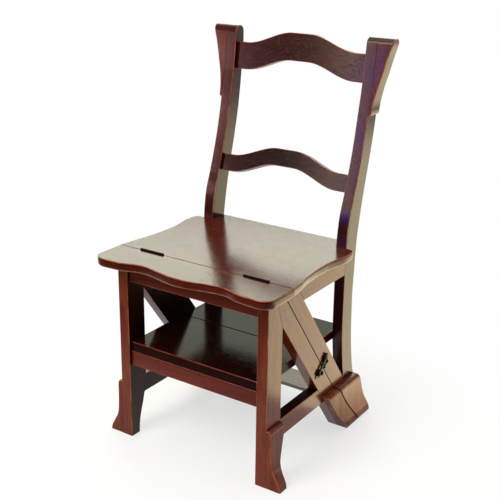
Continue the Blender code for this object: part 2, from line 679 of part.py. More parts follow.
def make_cross_boards(front_unit, rear_unit):
    """Aprons, shelves, their rail and the top step board."""
    rail_front = RAIL_SET_IN - LEG_SET_FORWARD
    half = INSIDE_WIDTH / 2
    low = SEAT_UNDERSIDE - APRON_HEIGHT
    high = SEAT_UNDERSIDE - FIT
    apron = box("front_apron", (-half, rail_front, low), (half, rail_front + RAIL_THICKNESS, high))
    finish(apron, WOOD, front_unit)

    shelf_low = SHELF_TOP - SHELF_THICKNESS
    rail_top = shelf_low - FIT
    rail = box("shelf_front_rail", (-half, rail_front, rail_top - SHELF_RAIL_HEIGHT),
               (half, rail_front + RAIL_THICKNESS, rail_top))
    finish(rail, WOOD, front_unit)
    shelf = [
        (rail_front, shelf_low), (split_y(shelf_low) - FIT, shelf_low),
        (split_y(SHELF_TOP) - FIT, SHELF_TOP), (rail_front, SHELF_TOP),
    ]
    cross_board("front_shelf", shelf, front_unit)

    rear_end = post_rear_y(SHELF_TOP) - SHELF_END_INSET
    shelf = [
        (split_y(shelf_low) + FIT, shelf_low), (rear_end, shelf_low), (rear_end, SHELF_TOP),
        (split_y(SHELF_TOP) + FIT, SHELF_TOP),
    ]
    cross_board("rear_shelf", shelf, rear_unit)

    rear_face = post_rear_y(low) - REAR_APRON_INSET
    apron = box("rear_apron", (-half, rear_face - RAIL_THICKNESS, low), (half, rear_face, high))
    finish(apron, WOOD, rear_unit)

    step_low = STEP_BOARD_TOP - STEP_BOARD_THICKNESS
    step_rear = BACK_REACH * STEP_BOARD_REAR_SHARE
    step = [
        (split_y(step_low) + FIT, step_low), (step_rear, step_low), (step_rear, STEP_BOARD_TOP),
        (split_y(STEP_BOARD_TOP) + FIT, STEP_BOARD_TOP),
    ]
    cross_board("top_step_board", step, rear_unit)

    block_middle = high - GLUE_BLOCK_HEIGHT / 2
    corner = INNER_X - FIT
    for label, side in (("right", 1), ("left", -1)):
        start = rail_front + RAIL_THICKNESS + FIT
        outline = [
            (side * corner, start), (side * (corner - GLUE_BLOCK_LEG), start),
            (side * corner, start + GLUE_BLOCK_LEG),
        ]
        block = prism(f"front_glue_block_{label}", outline, GLUE_BLOCK_HEIGHT, "plan",
                      (0, 0, block_middle))
        finish(block, WOOD, front_unit)
        start = rear_face - RAIL_THICKNESS - FIT
        outline = [
            (side * corner, start), (side * (corner - GLUE_BLOCK_LEG), start),
            (side * corner, start - GLUE_BLOCK_LEG),
        ]
        block = prism(f"rear_glue_block_{label}", outline, GLUE_BLOCK_HEIGHT, "plan",
                      (0, 0, block_middle))
        finish(block, WOOD, rear_unit)


def wave(share):
    """Height share of the waved rails: one in the middle, falling to zero near the ends."""
    t = (abs(share) - WAVE_FLAT_SHARE) / (WAVE_END_SHARE - WAVE_FLAT_SHARE)
    t = min(max(t, 0.0), 1.0)
    return 1 - t * t * (3 - 2 * t)


def back_rail(name, drop, rise, height, set_in, unit):
    """Waved rail between the posts, its ends below their tops, leaning as they do."""
    half = INSIDE_WIDTH / 2
    end_top = TOTAL_HEIGHT - drop
    base = end_top - height
    lean = math.atan2(post_front_y(end_top) - post_front_y(base), height)
    stretch = 1 / math.cos(lean)
    shares = spread(-1, 1, 2 * CURVE_STEPS)
    lower = [(half * s, rise * stretch * wave(s)) for s in shares]
    upper = [(x, y + height * stretch) for x, y in reversed(lower)]
    rail = prism(name, lower + upper, BACK_RAIL_THICKNESS, "front")
    front = Vector((0, post_front_y(base) + set_in, base))
    turn = Matrix.Rotation(-lean, 4, "X")
    middle = turn @ Vector((0, BACK_RAIL_THICKNESS / 2, 0))
    rail.matrix_world = Matrix.Translation(front + middle) @ turn @ rail.matrix_world
    return finish(rail, WOOD, unit)


# Hook latch

def latch_point(distance):
    """Point (y, z) at a distance from the pivot along the line to the stud."""
    share = distance / LATCH_SPAN
    return tuple(low + (high - low) * share for low, high in zip(PIVOT_POINT, STUD_POINT))


def drill(board, side, y, z, radius, depth):
    """Hole into a side board from its outer face."""
    start = (side * (FRAME_X + OVERRUN), y, z)
    end = (side * (FRAME_X - depth), y, z)
    hole = rod(f"{board.name}_hole_{len(board.modifiers)}", start, end, radius, sides=SCREW_SIDES)
    combine(board, hole, "DIFFERENCE")


def lobed_plate(name, y, z, inner, outer, turn):
    """Plate with a lobed edge, flat on the frame's outer face."""
    outline = []
    for angle in spread(0, 2 * math.pi, 8 * PLATE_LOBES)[:-1]:
        radius = PLATE_RADIUS * (1 + PLATE_LOBE_SHARE * (math.cos(PLATE_LOBES * angle) - 1))
        outline.append((radius * math.cos(angle + turn), radius * math.sin(angle + turn)))
    return prism(name, outline, abs(outer - inner), "side", ((inner + outer) / 2, y, z))


def make_latch(label, side, front_unit, rear_unit):
    """Hook, pivot, plates and stud that hold the units together on one side."""
    face = FRAME_X + FIT
    plate_top = face + PLATE_THICKNESS
    hook_low = plate_top + FIT
    hook_high = hook_low + HOOK_THICKNESS
    head_low = hook_high + FIT
    pivot_y, pivot_z = PIVOT_POINT
    stud_y, stud_z = STUD_POINT

    def across(y, z, start, end):
        return (side * start, y, z), (side * end, y, z)

    plate = lobed_plate(f"latch_plate_{label}", pivot_y, pivot_z, side * face, side * plate_top,
                        LATCH_SLOPE + math.pi)
    hole = rod(plate.name + "_bore", *across(pivot_y, pivot_z, face - OVERRUN, plate_top + OVERRUN),
               PIVOT_RADIUS + FIT)
    combine(plate, hole, "DIFFERENCE")
    screw_y, screw_z = latch_point(-PLATE_SCREW_OFFSET)
    plate_screw(f"latch_plate_screw_{label}", plate, side, screw_y, screw_z, face, plate_top,
                front_unit)
    finish(plate, IRON, front_unit)

    catch = lobed_plate(f"catch_plate_{label}", stud_y, stud_z, side * face, side * plate_top,
                        LATCH_SLOPE)
    screw_y, screw_z = latch_point(LATCH_SPAN + PLATE_SCREW_OFFSET)
    plate_screw(f"catch_plate_screw_{label}", catch, side, screw_y, screw_z, face, plate_top,
                rear_unit)
    stud = rod(catch.name + "_stud", *across(stud_y, stud_z, plate_top - FIT, head_low + FIT),
               STUD_RADIUS, sides=SCREW_SIDES)
    combine(catch, stud, "UNION")
    head = rod(catch.name + "_head",
               *across(stud_y, stud_z, head_low, head_low + STUD_HEAD_THICKNESS),
               STUD_HEAD_RADIUS, sides=SCREW_SIDES)
    combine(catch, head, "UNION")
    finish(catch, IRON, rear_unit)

    make_hook(label, side, hook_low, hook_high, front_unit)

    profile = (
        (0, 0), (PIVOT_HEAD_RADIUS * 0.6, 0), (PIVOT_HEAD_RADIUS, PIVOT_HEAD_THICKNESS / 2),
        (PIVOT_HEAD_RADIUS, PIVOT_HEAD_THICKNESS), (PIVOT_RADIUS, PIVOT_HEAD_THICKNESS),
        (PIVOT_RADIUS, PIVOT_HEAD_THICKNESS + head_low - FRAME_X + PIVOT_DEPTH),
        (0, PIVOT_HEAD_THICKNESS + head_low - FRAME_X + PIVOT_DEPTH),
    )
    base = (side * (head_low + PIVOT_HEAD_THICKNESS), pivot_y, pivot_z)
    pivot_pin = turned(f"latch_pivot_{label}", profile, base, (-side, 0, 0), ROUND_SIDES)
    finish(pivot_pin, IRON, front_unit)


def plate_screw(name, plate, side, y, z, face, plate_top, unit):
    """Small countersunk screw through a latch plate, and its seat in the plate."""
    start = (side * (plate_top + FIT), y, z)
    end = (side * (face - FIT), y, z)
    sink = rod(name + "_sink", start, end, PLATE_SCREW_HEAD_RADIUS + 2 * FIT,
               PLATE_SCREW_SHANK_RADIUS + FIT / 2, sides=SCREW_SIDES)
    combine(plate, sink, "DIFFERENCE")
    shank = PLATE_SCREW_SHANK_RADIUS - FIT / 2
    profile = (
        (0, 0), (PLATE_SCREW_HEAD_RADIUS, 0), (shank, PLATE_THICKNESS),
        (shank, PLATE_SCREW_LENGTH - PLATE_THICKNESS), (0, PLATE_SCREW_LENGTH),
    )
    base = (side * plate_top, y, z)
    finish(turned(name, profile, base, (-side, 0, 0)), IRON, unit)


def make_hook(label, side, low, high, unit):
    """Hook with its origin on the pivot: an eye, a bar, a slotted head and a thumb tip."""
    name = f"latch_hook_{label}"
    middle = side * (low + high) / 2
    half_bar = HOOK_WIDTH / 2
    slot = STUD_RADIUS + FIT
    stud = (LATCH_SPAN, 0)
    eye_turn = math.degrees(math.asin(half_bar / HOOK_EYE_RADIUS))
    bar_turn = math.degrees(math.asin(half_bar / HOOK_HEAD_RADIUS))
    slot_turn = math.degrees(math.acos(slot * THROAT_FLARE_SHARE / HOOK_HEAD_RADIUS))
    tip_turn = math.degrees(math.acos(HOOK_TIP_REACH / (HOOK_HEAD_RADIUS + HOOK_TIP_RADIUS)))
    tip = (LATCH_SPAN + HOOK_TIP_REACH, HOOK_TIP_RADIUS)
    outline = arc((0, 0), HOOK_EYE_RADIUS, 360 - eye_turn, eye_turn, 3 * ARC_STEPS)
    outline += arc(stud, HOOK_HEAD_RADIUS, 180 - bar_turn, tip_turn, 2 * ARC_STEPS)
    outline += arc(tip, HOOK_TIP_RADIUS, 180 - tip_turn, -90, 2 * ARC_STEPS)
    outline += arc(stud, HOOK_HEAD_RADIUS, -tip_turn / 4, -slot_turn, ARC_STEPS)
    outline += arc(stud, slot, 0, 180, ARC_STEPS)
    outline += arc(stud, HOOK_HEAD_RADIUS, slot_turn - 180, bar_turn - 180, ARC_STEPS)
    turned_outline = []
    for a, b in outline:
        turned_outline.append((a * math.cos(LATCH_SLOPE) - b * math.sin(LATCH_SLOPE),
                               a * math.sin(LATCH_SLOPE) + b * math.cos(LATCH_SLOPE)))
    place = (middle, *PIVOT_POINT)
    hook = prism(name, turned_outline, high - low, "side", place)
    start = (middle - OVERRUN, *PIVOT_POINT)
    end = (middle + OVERRUN, *PIVOT_POINT)
    bore = rod(f"{name}_bore", start, end, running_bore(PIVOT_RADIUS))
    combine(hook, bore, "DIFFERENCE")
    finish(hook, IRON, unit)


def main():
    """Build the whole chair."""
    for obj in list(bpy.data.objects):
        bpy.data.objects.remove(obj, do_unlink=True)
    bpy.context.scene.collection.children.link(parts)
    bpy.context.scene.collection.children.link(cutters)
    front_unit = bpy.data.objects.new("front_unit", None)
    rear_unit = bpy.data.objects.new("rear_unit", None)
    for unit in (front_unit, rear_unit):
        parts.objects.link(unit)

    make_seat(front_unit, rear_unit)
    make_hinges(front_unit, rear_unit)
    for label, side in (("right", 1), ("left", -1)):
        make_front_frame(label, side, front_unit)
        make_rear_frame(label, side, rear_unit)
        make_pads(label, side, front_unit, rear_unit)
        make_latch(label, side, front_unit, rear_unit)
    make_cross_boards(front_unit, rear_unit)
    back_rail("crest_rail", CREST_DROP, CREST_RISE, CREST_HEIGHT, CREST_SET_IN, rear_unit)
    back_rail("mid_rail", MID_DROP, MID_RISE, MID_HEIGHT, MID_SET_IN, rear_unit)

    # The pieces were placed from the hinge line; the units carry them to their place
    bpy.context.view_layer.update()
    for piece in parts.objects:
        if piece.parent is rear_unit:
            piece.matrix_world = Matrix.Translation((0, 0, -HINGE_Z)) @ piece.matrix_world
    rear_unit.location = (0, HINGE_Y, HINGE_Z)
    front_unit.location = (0, HINGE_Y, 0)
    for cutter in cutters.objects:
        cutter.location.y += HINGE_Y
    bpy.context.view_layer.update()


main()
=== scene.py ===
"""Looks of a library step chair: stained mahogany boards, iron hinges and hook latches.

Every board is a copy of its solid with moulded, eased and rubbed edges, and
every metal piece a copy with worked edges. Metres, in the model's own frame.
"""
import json
import math

import bmesh
import bpy
from bpy.props import FloatProperty, FloatVectorProperty, PointerProperty
from mathutils import Matrix, Vector
from mathutils.bvhtree import BVHTree

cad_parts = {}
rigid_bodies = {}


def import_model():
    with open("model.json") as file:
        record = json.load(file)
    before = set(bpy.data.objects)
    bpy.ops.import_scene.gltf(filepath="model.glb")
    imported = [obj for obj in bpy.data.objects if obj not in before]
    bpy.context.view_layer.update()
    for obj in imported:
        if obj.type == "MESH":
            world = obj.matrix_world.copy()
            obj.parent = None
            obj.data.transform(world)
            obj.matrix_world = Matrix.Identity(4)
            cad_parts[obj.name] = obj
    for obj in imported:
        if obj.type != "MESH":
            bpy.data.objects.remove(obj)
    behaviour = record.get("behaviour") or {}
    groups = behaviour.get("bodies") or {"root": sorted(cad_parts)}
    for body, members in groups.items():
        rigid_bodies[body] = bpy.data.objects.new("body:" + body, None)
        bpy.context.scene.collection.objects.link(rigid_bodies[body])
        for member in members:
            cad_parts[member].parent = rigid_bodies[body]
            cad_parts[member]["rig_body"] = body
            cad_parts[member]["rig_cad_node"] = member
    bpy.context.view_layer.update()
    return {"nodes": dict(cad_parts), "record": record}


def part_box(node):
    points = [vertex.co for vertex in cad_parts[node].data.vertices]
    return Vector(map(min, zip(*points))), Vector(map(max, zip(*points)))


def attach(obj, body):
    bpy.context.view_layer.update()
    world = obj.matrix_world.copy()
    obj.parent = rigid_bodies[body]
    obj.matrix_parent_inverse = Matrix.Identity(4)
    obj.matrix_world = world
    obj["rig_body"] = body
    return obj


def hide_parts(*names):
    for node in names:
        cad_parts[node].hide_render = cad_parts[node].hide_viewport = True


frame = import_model()

bl_info = {
    "name": "Library step chair",
    "version": (1, 0, 0),
    "blender": (4, 2, 0),
    "location": "3D View > Sidebar > Step chair",
    "description": "Dresses the boards and ironwork of a step chair and lights them",
    "category": "Object",
}

NODES = frame["nodes"]
BODY_OF = {}
for body_name, members in frame["record"]["behaviour"]["bodies"].items():
    for member in members:
        BODY_OF[member] = body_name

# Places read from the model: the seat's top, its joint and the outer face of a side frame
SEAT_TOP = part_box("front_seat_board")[1].z
SEAM_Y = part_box("front_seat_board")[1].y
FRAME_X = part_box("front_leg_right")[1].x

# Points this close are one point, and boards this close are joined
MERGE = 0.00001
JOINT_REACH = 0.0009

# Folds: nearly flat ones go, ones that light runs round smoothly, and ones that are worked
FLAT_FOLD = math.radians(0.3)
SMOOTH_FOLD = math.radians(32)
WOOD_FOLD = math.radians(28)
IRON_FOLD = math.radians(38)

# A board's own end or another cut this near makes a cut at a neighbour's end needless
CUT_FROM_END = 0.004
CUT_FROM_CUT = 0.002

# Places along an edge where a neighbour is looked for, and how many of them have to find it
EDGE_SHARES = (0.2, 0.5, 0.8)
FOUND_AT = 2

# Places of the finishes on a wooden piece: face, rubbed edge, painted shade in joints and
# grooves, and painted shade on the side that looks into the frame
FACE, ARRIS, GROOVE_SHADE, INSIDE_SHADE = range(4)

# Grain directions as turns of the pattern, so that its long way is X. The diagonals slope.
ACROSS = (0.0, 0.0, 0.0)
FORE_AND_AFT = (0.0, 0.0, math.radians(-90))
UPRIGHT = (0.0, math.radians(90), 0.0)
SLOPING = (math.radians(-36.7), math.radians(90), 0.0)

# Wooden pieces: node, grain direction, a shift that gives each board its own figure, how
# far the stain is rubbed, how much darker it is and, for blocks, how much lacquer is left.
# Left and right boards share a row, and a further shift parts their figures.
PAIR_SHIFT = 0.37
SIDE_BOARDS = (
    ("front_leg", UPRIGHT, 1.3, 0.13, 0.0), ("front_diagonal", SLOPING, 2.1, 0.15, 0.0),
    # The posts are darker: partly a darker stain, partly painted shade
    ("lower_side_rail", FORE_AND_AFT, 3.7, 0.12, 0.0), ("rear_leg", UPRIGHT, 4.9, 0.06, 0.74),
    ("rear_diagonal", SLOPING, 5.3, 0.12, 0.0), ("side_apron", FORE_AND_AFT, 6.1, 0.08, 0.0),
)
BLOCKS = (
    ("front_foot_pad", UPRIGHT, 7.7, 0.16, 0.0, 0.9),
    ("diagonal_foot_pad", UPRIGHT, 8.3, 0.34, 0.0, 0.5),
    ("rear_foot_pad", UPRIGHT, 9.1, 0.24, 0.0, 0.75),
    ("top_block", UPRIGHT, 10.9, 0.03, 0.55, 0.9),
)

# Boards that run across, with a shift for their figure and, for the back, how much darker
SEAT_BOARDS = (("front_seat_board", 21.3), ("rear_seat_board", 23.9))
CROSS_BOARDS = (("front_apron", 11.3), ("shelf_front_rail", 12.7), ("rear_apron", 15.5),
                ("top_step_board", 16.3))
SHELVES = (("front_shelf", 13.1), ("rear_shelf", 14.9))
# The back rails are darker: partly a darker stain, partly painted shade
BACK_RAILS = (("crest_rail", 17.9, 0.82), ("mid_rail", 18.7, 0.93))
GLUE_BLOCKS = ("front_glue_block_left", "front_glue_block_right",
               "rear_glue_block_left", "rear_glue_block_right")
WOOD_NODES = [n for n in NODES if not n.startswith(("hinge_", "latch_", "catch_"))]

# Blocks and shelves are handled more, so their arrises are wider than those of the boards
HANDLED = 1.5

# Painted shade on the faces that look into the frame: how much darker they are, and the share
# of straight inwards, or of straight up on a side rail, above which a face is one of them
INSIDE_SHADE_DARKER = 0.85
INSIDE_SHADE_SHARE = 0.8

# Height and depth of the groove along the shelf's lower front edge, which takes painted shade
GROOVE = 0.003

# Profile of the seat's outer edge: drop from the top, how far in, and the finish below it; the
# quirk takes painted shade
SEAT_EDGE = (
    (0.0000, 0.0013, ARRIS), (0.0005, 0.0005, ARRIS), (0.0014, 0.0, ARRIS),
    (0.0024, 0.0, GROOVE_SHADE), (0.0030, 0.0012, GROOVE_SHADE), (0.0037, 0.0012, GROOVE_SHADE),
    (0.0043, 0.0004, FACE), (0.0070, 0.0, FACE), (0.0125, 0.0, FACE),
    (0.0160, 0.0005, ARRIS), (0.0178, 0.0012, ARRIS), (0.0191, 0.0021, FACE),
    (0.0200, 0.0034, FACE),
)

# The moulding stops short of the seat's joint and of the notches round the posts. A face whose
# normal has more than one share of Z is level, and one with the other share of X looks to the
# side. At a sharp corner the mitre's limit keeps the moulding from running out.
SEAM_MARGIN = 0.006
NOTCH_MARGIN = 0.0025
LEVEL_SHARE = 0.3
SIDEWAYS_SHARE = 0.9
MITRE_LIMIT = 0.6

# Edge along the seat's joint, and how near to the joint a corner belongs to it
SEAM_ARRIS = 0.0008
SEAM_REACH = 0.0015

# The hinges' edges are finer than those of the latches
HINGE_EDGE_SHARE = 0.5

# Cast scrolls of the latch plates: plate, along the hook, to the rear of it, turn in
# degrees, size and height. The one that the hook passes over is low.
SCROLLS = (
    ("latch_plate", 8.0e-3, 12.2e-3, -150, 1.2, 1.25),
    ("latch_plate", 4.2e-3, -7.4e-3, 60, 0.9, 0.5),
    ("catch_plate", -14.0e-3, 12.0e-3, -60, 1.3, 1.25),
    ("catch_plate", -1.5e-3, 12.8e-3, 100, 1.1, 1.25),
)

# A scroll of size 1: radius of its ring and of its wire, how far round it goes, the share of
# the ring that it winds in by, and the button at its end. It sits this far off the board.
SCROLL_RING = 0.0042
SCROLL_WIRE = 0.0019
SCROLL_SWEEP = math.radians(300)
SCROLL_WINDING = 0.5
SCROLL_BUTTON = SCROLL_WIRE * 1.2
SCROLL_LIFT = 0.0002

# Facets round the wire and the button, along the wire, and from pole to pole of the button
SCROLL_SIDES = 12
SCROLL_STEPS = 20
BUTTON_RINGS = 8


def linear(code):
    """Linear red, green, blue and alpha of an sRGB hex colour."""
    channels = [int(code[i:i + 2], 16) / 255 for i in (1, 3, 5)]
    bent = [c / 12.92 if c <= 0.04045 else ((c + 0.055) / 1.055) ** 2.4 for c in channels]
    return (*bent, 1.0)


class StepChairSizes(bpy.types.PropertyGroup):
    """Sizes of the worked edges."""

    arris_width: FloatProperty(
        name="Rubbed arris", description="Width of the rounding along free edges of the boards",
        default=0.0014, min=0.0003, max=0.004, unit="LENGTH")
    joint_width: FloatProperty(
        name="Joint edge", description="Width of the rounding where two boards meet",
        default=0.0003, min=0.0, max=0.001, unit="LENGTH")
    meeting_width: FloatProperty(
        name="Meeting edge", description="Width of the rounding where the two units meet",
        default=0.0012, min=0.0, max=0.002, unit="LENGTH")
    iron_width: FloatProperty(
        name="Iron edge", description="Width of the rounding on the ironwork",
        default=0.0005, min=0.0001, max=0.001, unit="LENGTH")


class StepChairFinish(bpy.types.PropertyGroup):
    """Colours and gloss of the finishes."""

    stain_dark: FloatVectorProperty(
        name="Dark grain", description="Stain in the dark fibres of the grain",
        subtype="COLOR", size=4, min=0, max=1, default=linear("#340f09"))
    stain: FloatVectorProperty(
        name="Stain", description="Main colour of the red-brown stain",
        subtype="COLOR", size=4, min=0, max=1, default=linear("#561a10"))
    stain_light: FloatVectorProperty(
        name="Light grain", description="Stain in the light bands of the grain",
        subtype="COLOR", size=4, min=0, max=1, default=linear("#742b17"))
    rubbed: FloatVectorProperty(
        name="Rubbed edge", description="Wood that shows where the stain is rubbed thin",
        subtype="COLOR", size=4, min=0, max=1, default=linear("#a4592f"))
    iron: FloatVectorProperty(
        name="Blackened iron", description="Colour of the hinges and latches",
        subtype="COLOR", size=4, min=0, max=1, default=linear("#0e0d0c"))
    gloss: FloatProperty(
        name="Lacquer roughness", description="Roughness of the clear lacquer",
        subtype="FACTOR", default=0.18, min=0.0, max=1.0)


class StepChairStage(bpy.types.PropertyGroup):
    """Floor and light round the chair."""

    light_level: FloatProperty(
        name="Light level", description="Strength of all the lamps together",
        default=1.0, min=0.0, max=4.0)
    floor: FloatVectorProperty(
        name="Floor", description="Colour of the pale floor",
        subtype="COLOR", size=4, min=0, max=1, default=linear("#f4f3ee"))


# Materials

def add_node(tree, kind, settings=None, inputs=None):
    """Add one node. An input is a plain value, or a (node, output) pair to link."""
    node = tree.nodes.new(kind)
    for name, value in (settings or {}).items():
        setattr(node, name, value)
    for name, value in (inputs or {}).items():
        if isinstance(value, tuple) and isinstance(value[0], bpy.types.Node):
            tree.links.new(value[0].outputs[value[1]], node.inputs[name])
        else:
            node.inputs[name].default_value = value
    return node


def new_material(name):
    """Empty material and its node tree."""
    material = bpy.data.materials.new(name)
    material.use_nodes = True
    material.node_tree.nodes.clear()
    return material, material.node_tree


def lacquered_mahogany(name, finish, turn, shift, rub=0.0, darker=0.0, gloss=1.0, film=1.0):
    """Mahogany boards, planed, sanded, stained red-brown and sprayed with clear lacquer.

    The eye sees soft straight bands about 15 mm wide, fine fibres along the board,
    short dark pores, slightly cloudy stain, and a smooth film over all of it. Where
    rub is above zero the stain is broken through and lighter wood shows in patches.
    Darker is the share of a nearly black colour, a darker stain on some boards and painted
    shade on others, gloss scales the film's roughness, and film is how much of the lacquer
    is left on the board.
    """
    material, tree = new_material(name)
    place = add_node(tree, "ShaderNodeTexCoord")
    board = add_node(tree, "ShaderNodeMapping", None, {
        "Vector": (place, "Object"), "Rotation": turn, "Location": (shift, shift / 3, shift / 7)})

    # Growth bands, 15 mm apart and some 300 mm long
    bands_at = add_node(tree, "ShaderNodeMapping", None, {
        "Vector": (board, "Vector"), "Scale": (3.2, 64.0, 64.0)})
    bands = add_node(tree, "ShaderNodeTexNoise", None, {
        "Vector": (bands_at, "Vector"), "Scale": 1.0, "Detail": 3.0, "Roughness": 0.5,
        "Distortion": 0.5})
    band_share = add_node(tree, "ShaderNodeMapRange", {"interpolation_type": "SMOOTHSTEP"}, {
        "Value": (bands, "Fac"), "From Min": 0.30, "From Max": 0.78})

    # Fibres, really 0.2 mm wide and drawn 1 mm wide so that they show
    fibre_at = add_node(tree, "ShaderNodeMapping", None, {
        "Vector": (board, "Vector"), "Scale": (22.0, 950.0, 950.0)})
    fibres = add_node(tree, "ShaderNodeTexNoise", None, {
        "Vector": (fibre_at, "Vector"), "Scale": 1.0, "Detail": 2.0, "Roughness": 0.6})
    fibre_share = add_node(tree, "ShaderNodeMapRange", None, {
        "Value": (fibres, "Fac"), "From Min": 0.3, "From Max": 0.75})

    # Open pores, short dashes about 12 mm long, drawn 0.8 mm wide so that they show
    pore_at = add_node(tree, "ShaderNodeMapping", None, {
        "Vector": (board, "Vector"), "Scale": (80.0, 1300.0, 1300.0)})
    pores = add_node(tree, "ShaderNodeTexNoise", None, {
        "Vector": (pore_at, "Vector"), "Scale": 1.0, "Detail": 1.0, "Roughness": 0.5})
    pore_share = add_node(tree, "ShaderNodeMapRange", {"interpolation_type": "SMOOTHSTEP"}, {
        "Value": (pores, "Fac"), "From Min": 0.60, "From Max": 0.72})

    # Cloudy stain, patches about 90 mm across
    clouds = add_node(tree, "ShaderNodeTexNoise", None, {
        "Vector": (board, "Vector"), "Scale": 11.0, "Detail": 2.0, "Roughness": 0.5})
    cloud_share = add_node(tree, "ShaderNodeMapRange", {"interpolation_type": "SMOOTHSTEP"}, {
        "Value": (clouds, "Fac"), "From Min": 0.35, "From Max": 0.68, "To Min": 0.0, "To Max": 0.5})

    banded = add_node(tree, "ShaderNodeMix", {"data_type": "RGBA"}, {
        0: (band_share, "Result"), 6: tuple(finish.stain), 7: tuple(finish.stain_light)})
    fibred_share = add_node(tree, "ShaderNodeMath", {"operation": "MULTIPLY"}, {
        0: (fibre_share, "Result"), 1: 0.42})
    fibred = add_node(tree, "ShaderNodeMix", {"data_type": "RGBA"}, {
        0: (fibred_share, "Value"), 6: (banded, 2), 7: tuple(finish.stain_dark)})
    clouded = add_node(tree, "ShaderNodeMix", {"data_type": "RGBA"}, {
        0: (cloud_share, "Result"), 6: (fibred, 2), 7: tuple(finish.stain)})
    poured = add_node(tree, "ShaderNodeMath", {"operation": "MULTIPLY"}, {
        0: (pore_share, "Result"), 1: 0.7})
    pored = add_node(tree, "ShaderNodeMix", {"data_type": "RGBA"}, {
        0: (poured, "Value"), 6: (clouded, 2), 7: linear("#1c0906")})

    # Stain is rubbed through in patches some 80 mm long, and 35 mm on edges that are rubbed
    # by more than half
    finer = 2.4 if rub >= 0.5 else 1.0
    wear_at = add_node(tree, "ShaderNodeMapping", None, {
        "Vector": (board, "Vector"), "Scale": (12.0 * finer, 45.0 * finer, 45.0 * finer)})
    wear = add_node(tree, "ShaderNodeTexNoise", None, {
        "Vector": (wear_at, "Vector"), "Scale": 1.0, "Detail": 3.0, "Roughness": 0.6})
    wear_share = add_node(tree, "ShaderNodeMapRange", {"interpolation_type": "SMOOTHSTEP"}, {
        "Value": (wear, "Fac"), "From Min": 0.38, "From Max": 0.62,
        "To Min": 0.3 * rub, "To Max": 1.2 * rub})
    rubbed = add_node(tree, "ShaderNodeMix", {"data_type": "RGBA"}, {
        0: (wear_share, "Result"), 6: (pored, 2), 7: tuple(finish.rubbed)})
    # A nearly black colour mixed in: a darker stain on some boards, painted shade on others
    deepened = add_node(tree, "ShaderNodeMix", {"data_type": "RGBA"}, {
        0: darker, 6: (rubbed, 2), 7: linear("#0d0403")})

    # The lacquer sinks a little over fibres and pores, and ripples about 4 mm apart
    relief = add_node(tree, "ShaderNodeMath", {"operation": "SUBTRACT"}, {
        0: (fibre_share, "Result"), 1: (pore_share, "Result")})
    grain_bump = add_node(tree, "ShaderNodeBump", None, {
        "Height": (relief, "Value"), "Strength": 0.25, "Distance": 0.00012})
    film_at = add_node(tree, "ShaderNodeTexNoise", None, {
        "Vector": (board, "Vector"), "Scale": 240.0, "Detail": 1.0, "Roughness": 0.4})
    film_bump = add_node(tree, "ShaderNodeBump", None, {
        "Height": (film_at, "Fac"), "Normal": (grain_bump, "Normal"), "Strength": 0.12,
        "Distance": 0.0002})
    smear = add_node(tree, "ShaderNodeMapRange", None, {
        "Value": (clouds, "Fac"), "From Min": 0.3, "From Max": 0.7,
        "To Min": 0.34, "To Max": 0.46})

    # Wood under a film has no shine of its own. A lacquer's IOR is near 1.5, and 1.3 gives
    # the weaker reflections of the photograph's thin, rubbed film.
    shader = add_node(tree, "ShaderNodeBsdfPrincipled", None, {
        "Base Color": (deepened, 2), "Roughness": (smear, "Result"), "IOR": 1.45,
        "Specular IOR Level": 0.0, "Coat Weight": film, "Coat Roughness": finish.gloss * gloss,
        "Coat IOR": 1.3, "Normal": (film_bump, "Normal"), "Coat Normal": (film_bump, "Normal")})
    add_node(tree, "ShaderNodeOutputMaterial", None, {"Surface": (shader, "BSDF")})
    return material


def bare_mahogany(name, finish):
    """Sawn offcuts left bare inside the frame, which take a thin wash of stain.

    The eye sees pale brown wood with rough saw lines, 1 mm apart, and no gloss.
    """
    material, tree = new_material(name)
    place = add_node(tree, "ShaderNodeTexCoord")
    saw_at = add_node(tree, "ShaderNodeMapping", None, {
        "Vector": (place, "Object"), "Scale": (900.0, 900.0, 40.0)})
    saw = add_node(tree, "ShaderNodeTexNoise", None, {
        "Vector": (saw_at, "Vector"), "Scale": 1.0, "Detail": 3.0, "Roughness": 0.7})
    colour = add_node(tree, "ShaderNodeMix", {"data_type": "RGBA"}, {
        0: (saw, "Fac"), 6: tuple(finish.stain), 7: linear("#8a5a3a")})
    bump = add_node(tree, "ShaderNodeBump", None, {
        "Height": (saw, "Fac"), "Strength": 0.5, "Distance": 0.0003})
    shader = add_node(tree, "ShaderNodeBsdfPrincipled", None, {
        "Base Color": (colour, 2), "Roughness": 0.8, "IOR": 1.5, "Normal": (bump, "Normal")})
    add_node(tree, "ShaderNodeOutputMaterial", None, {"Surface": (shader, "BSDF")})
    return material


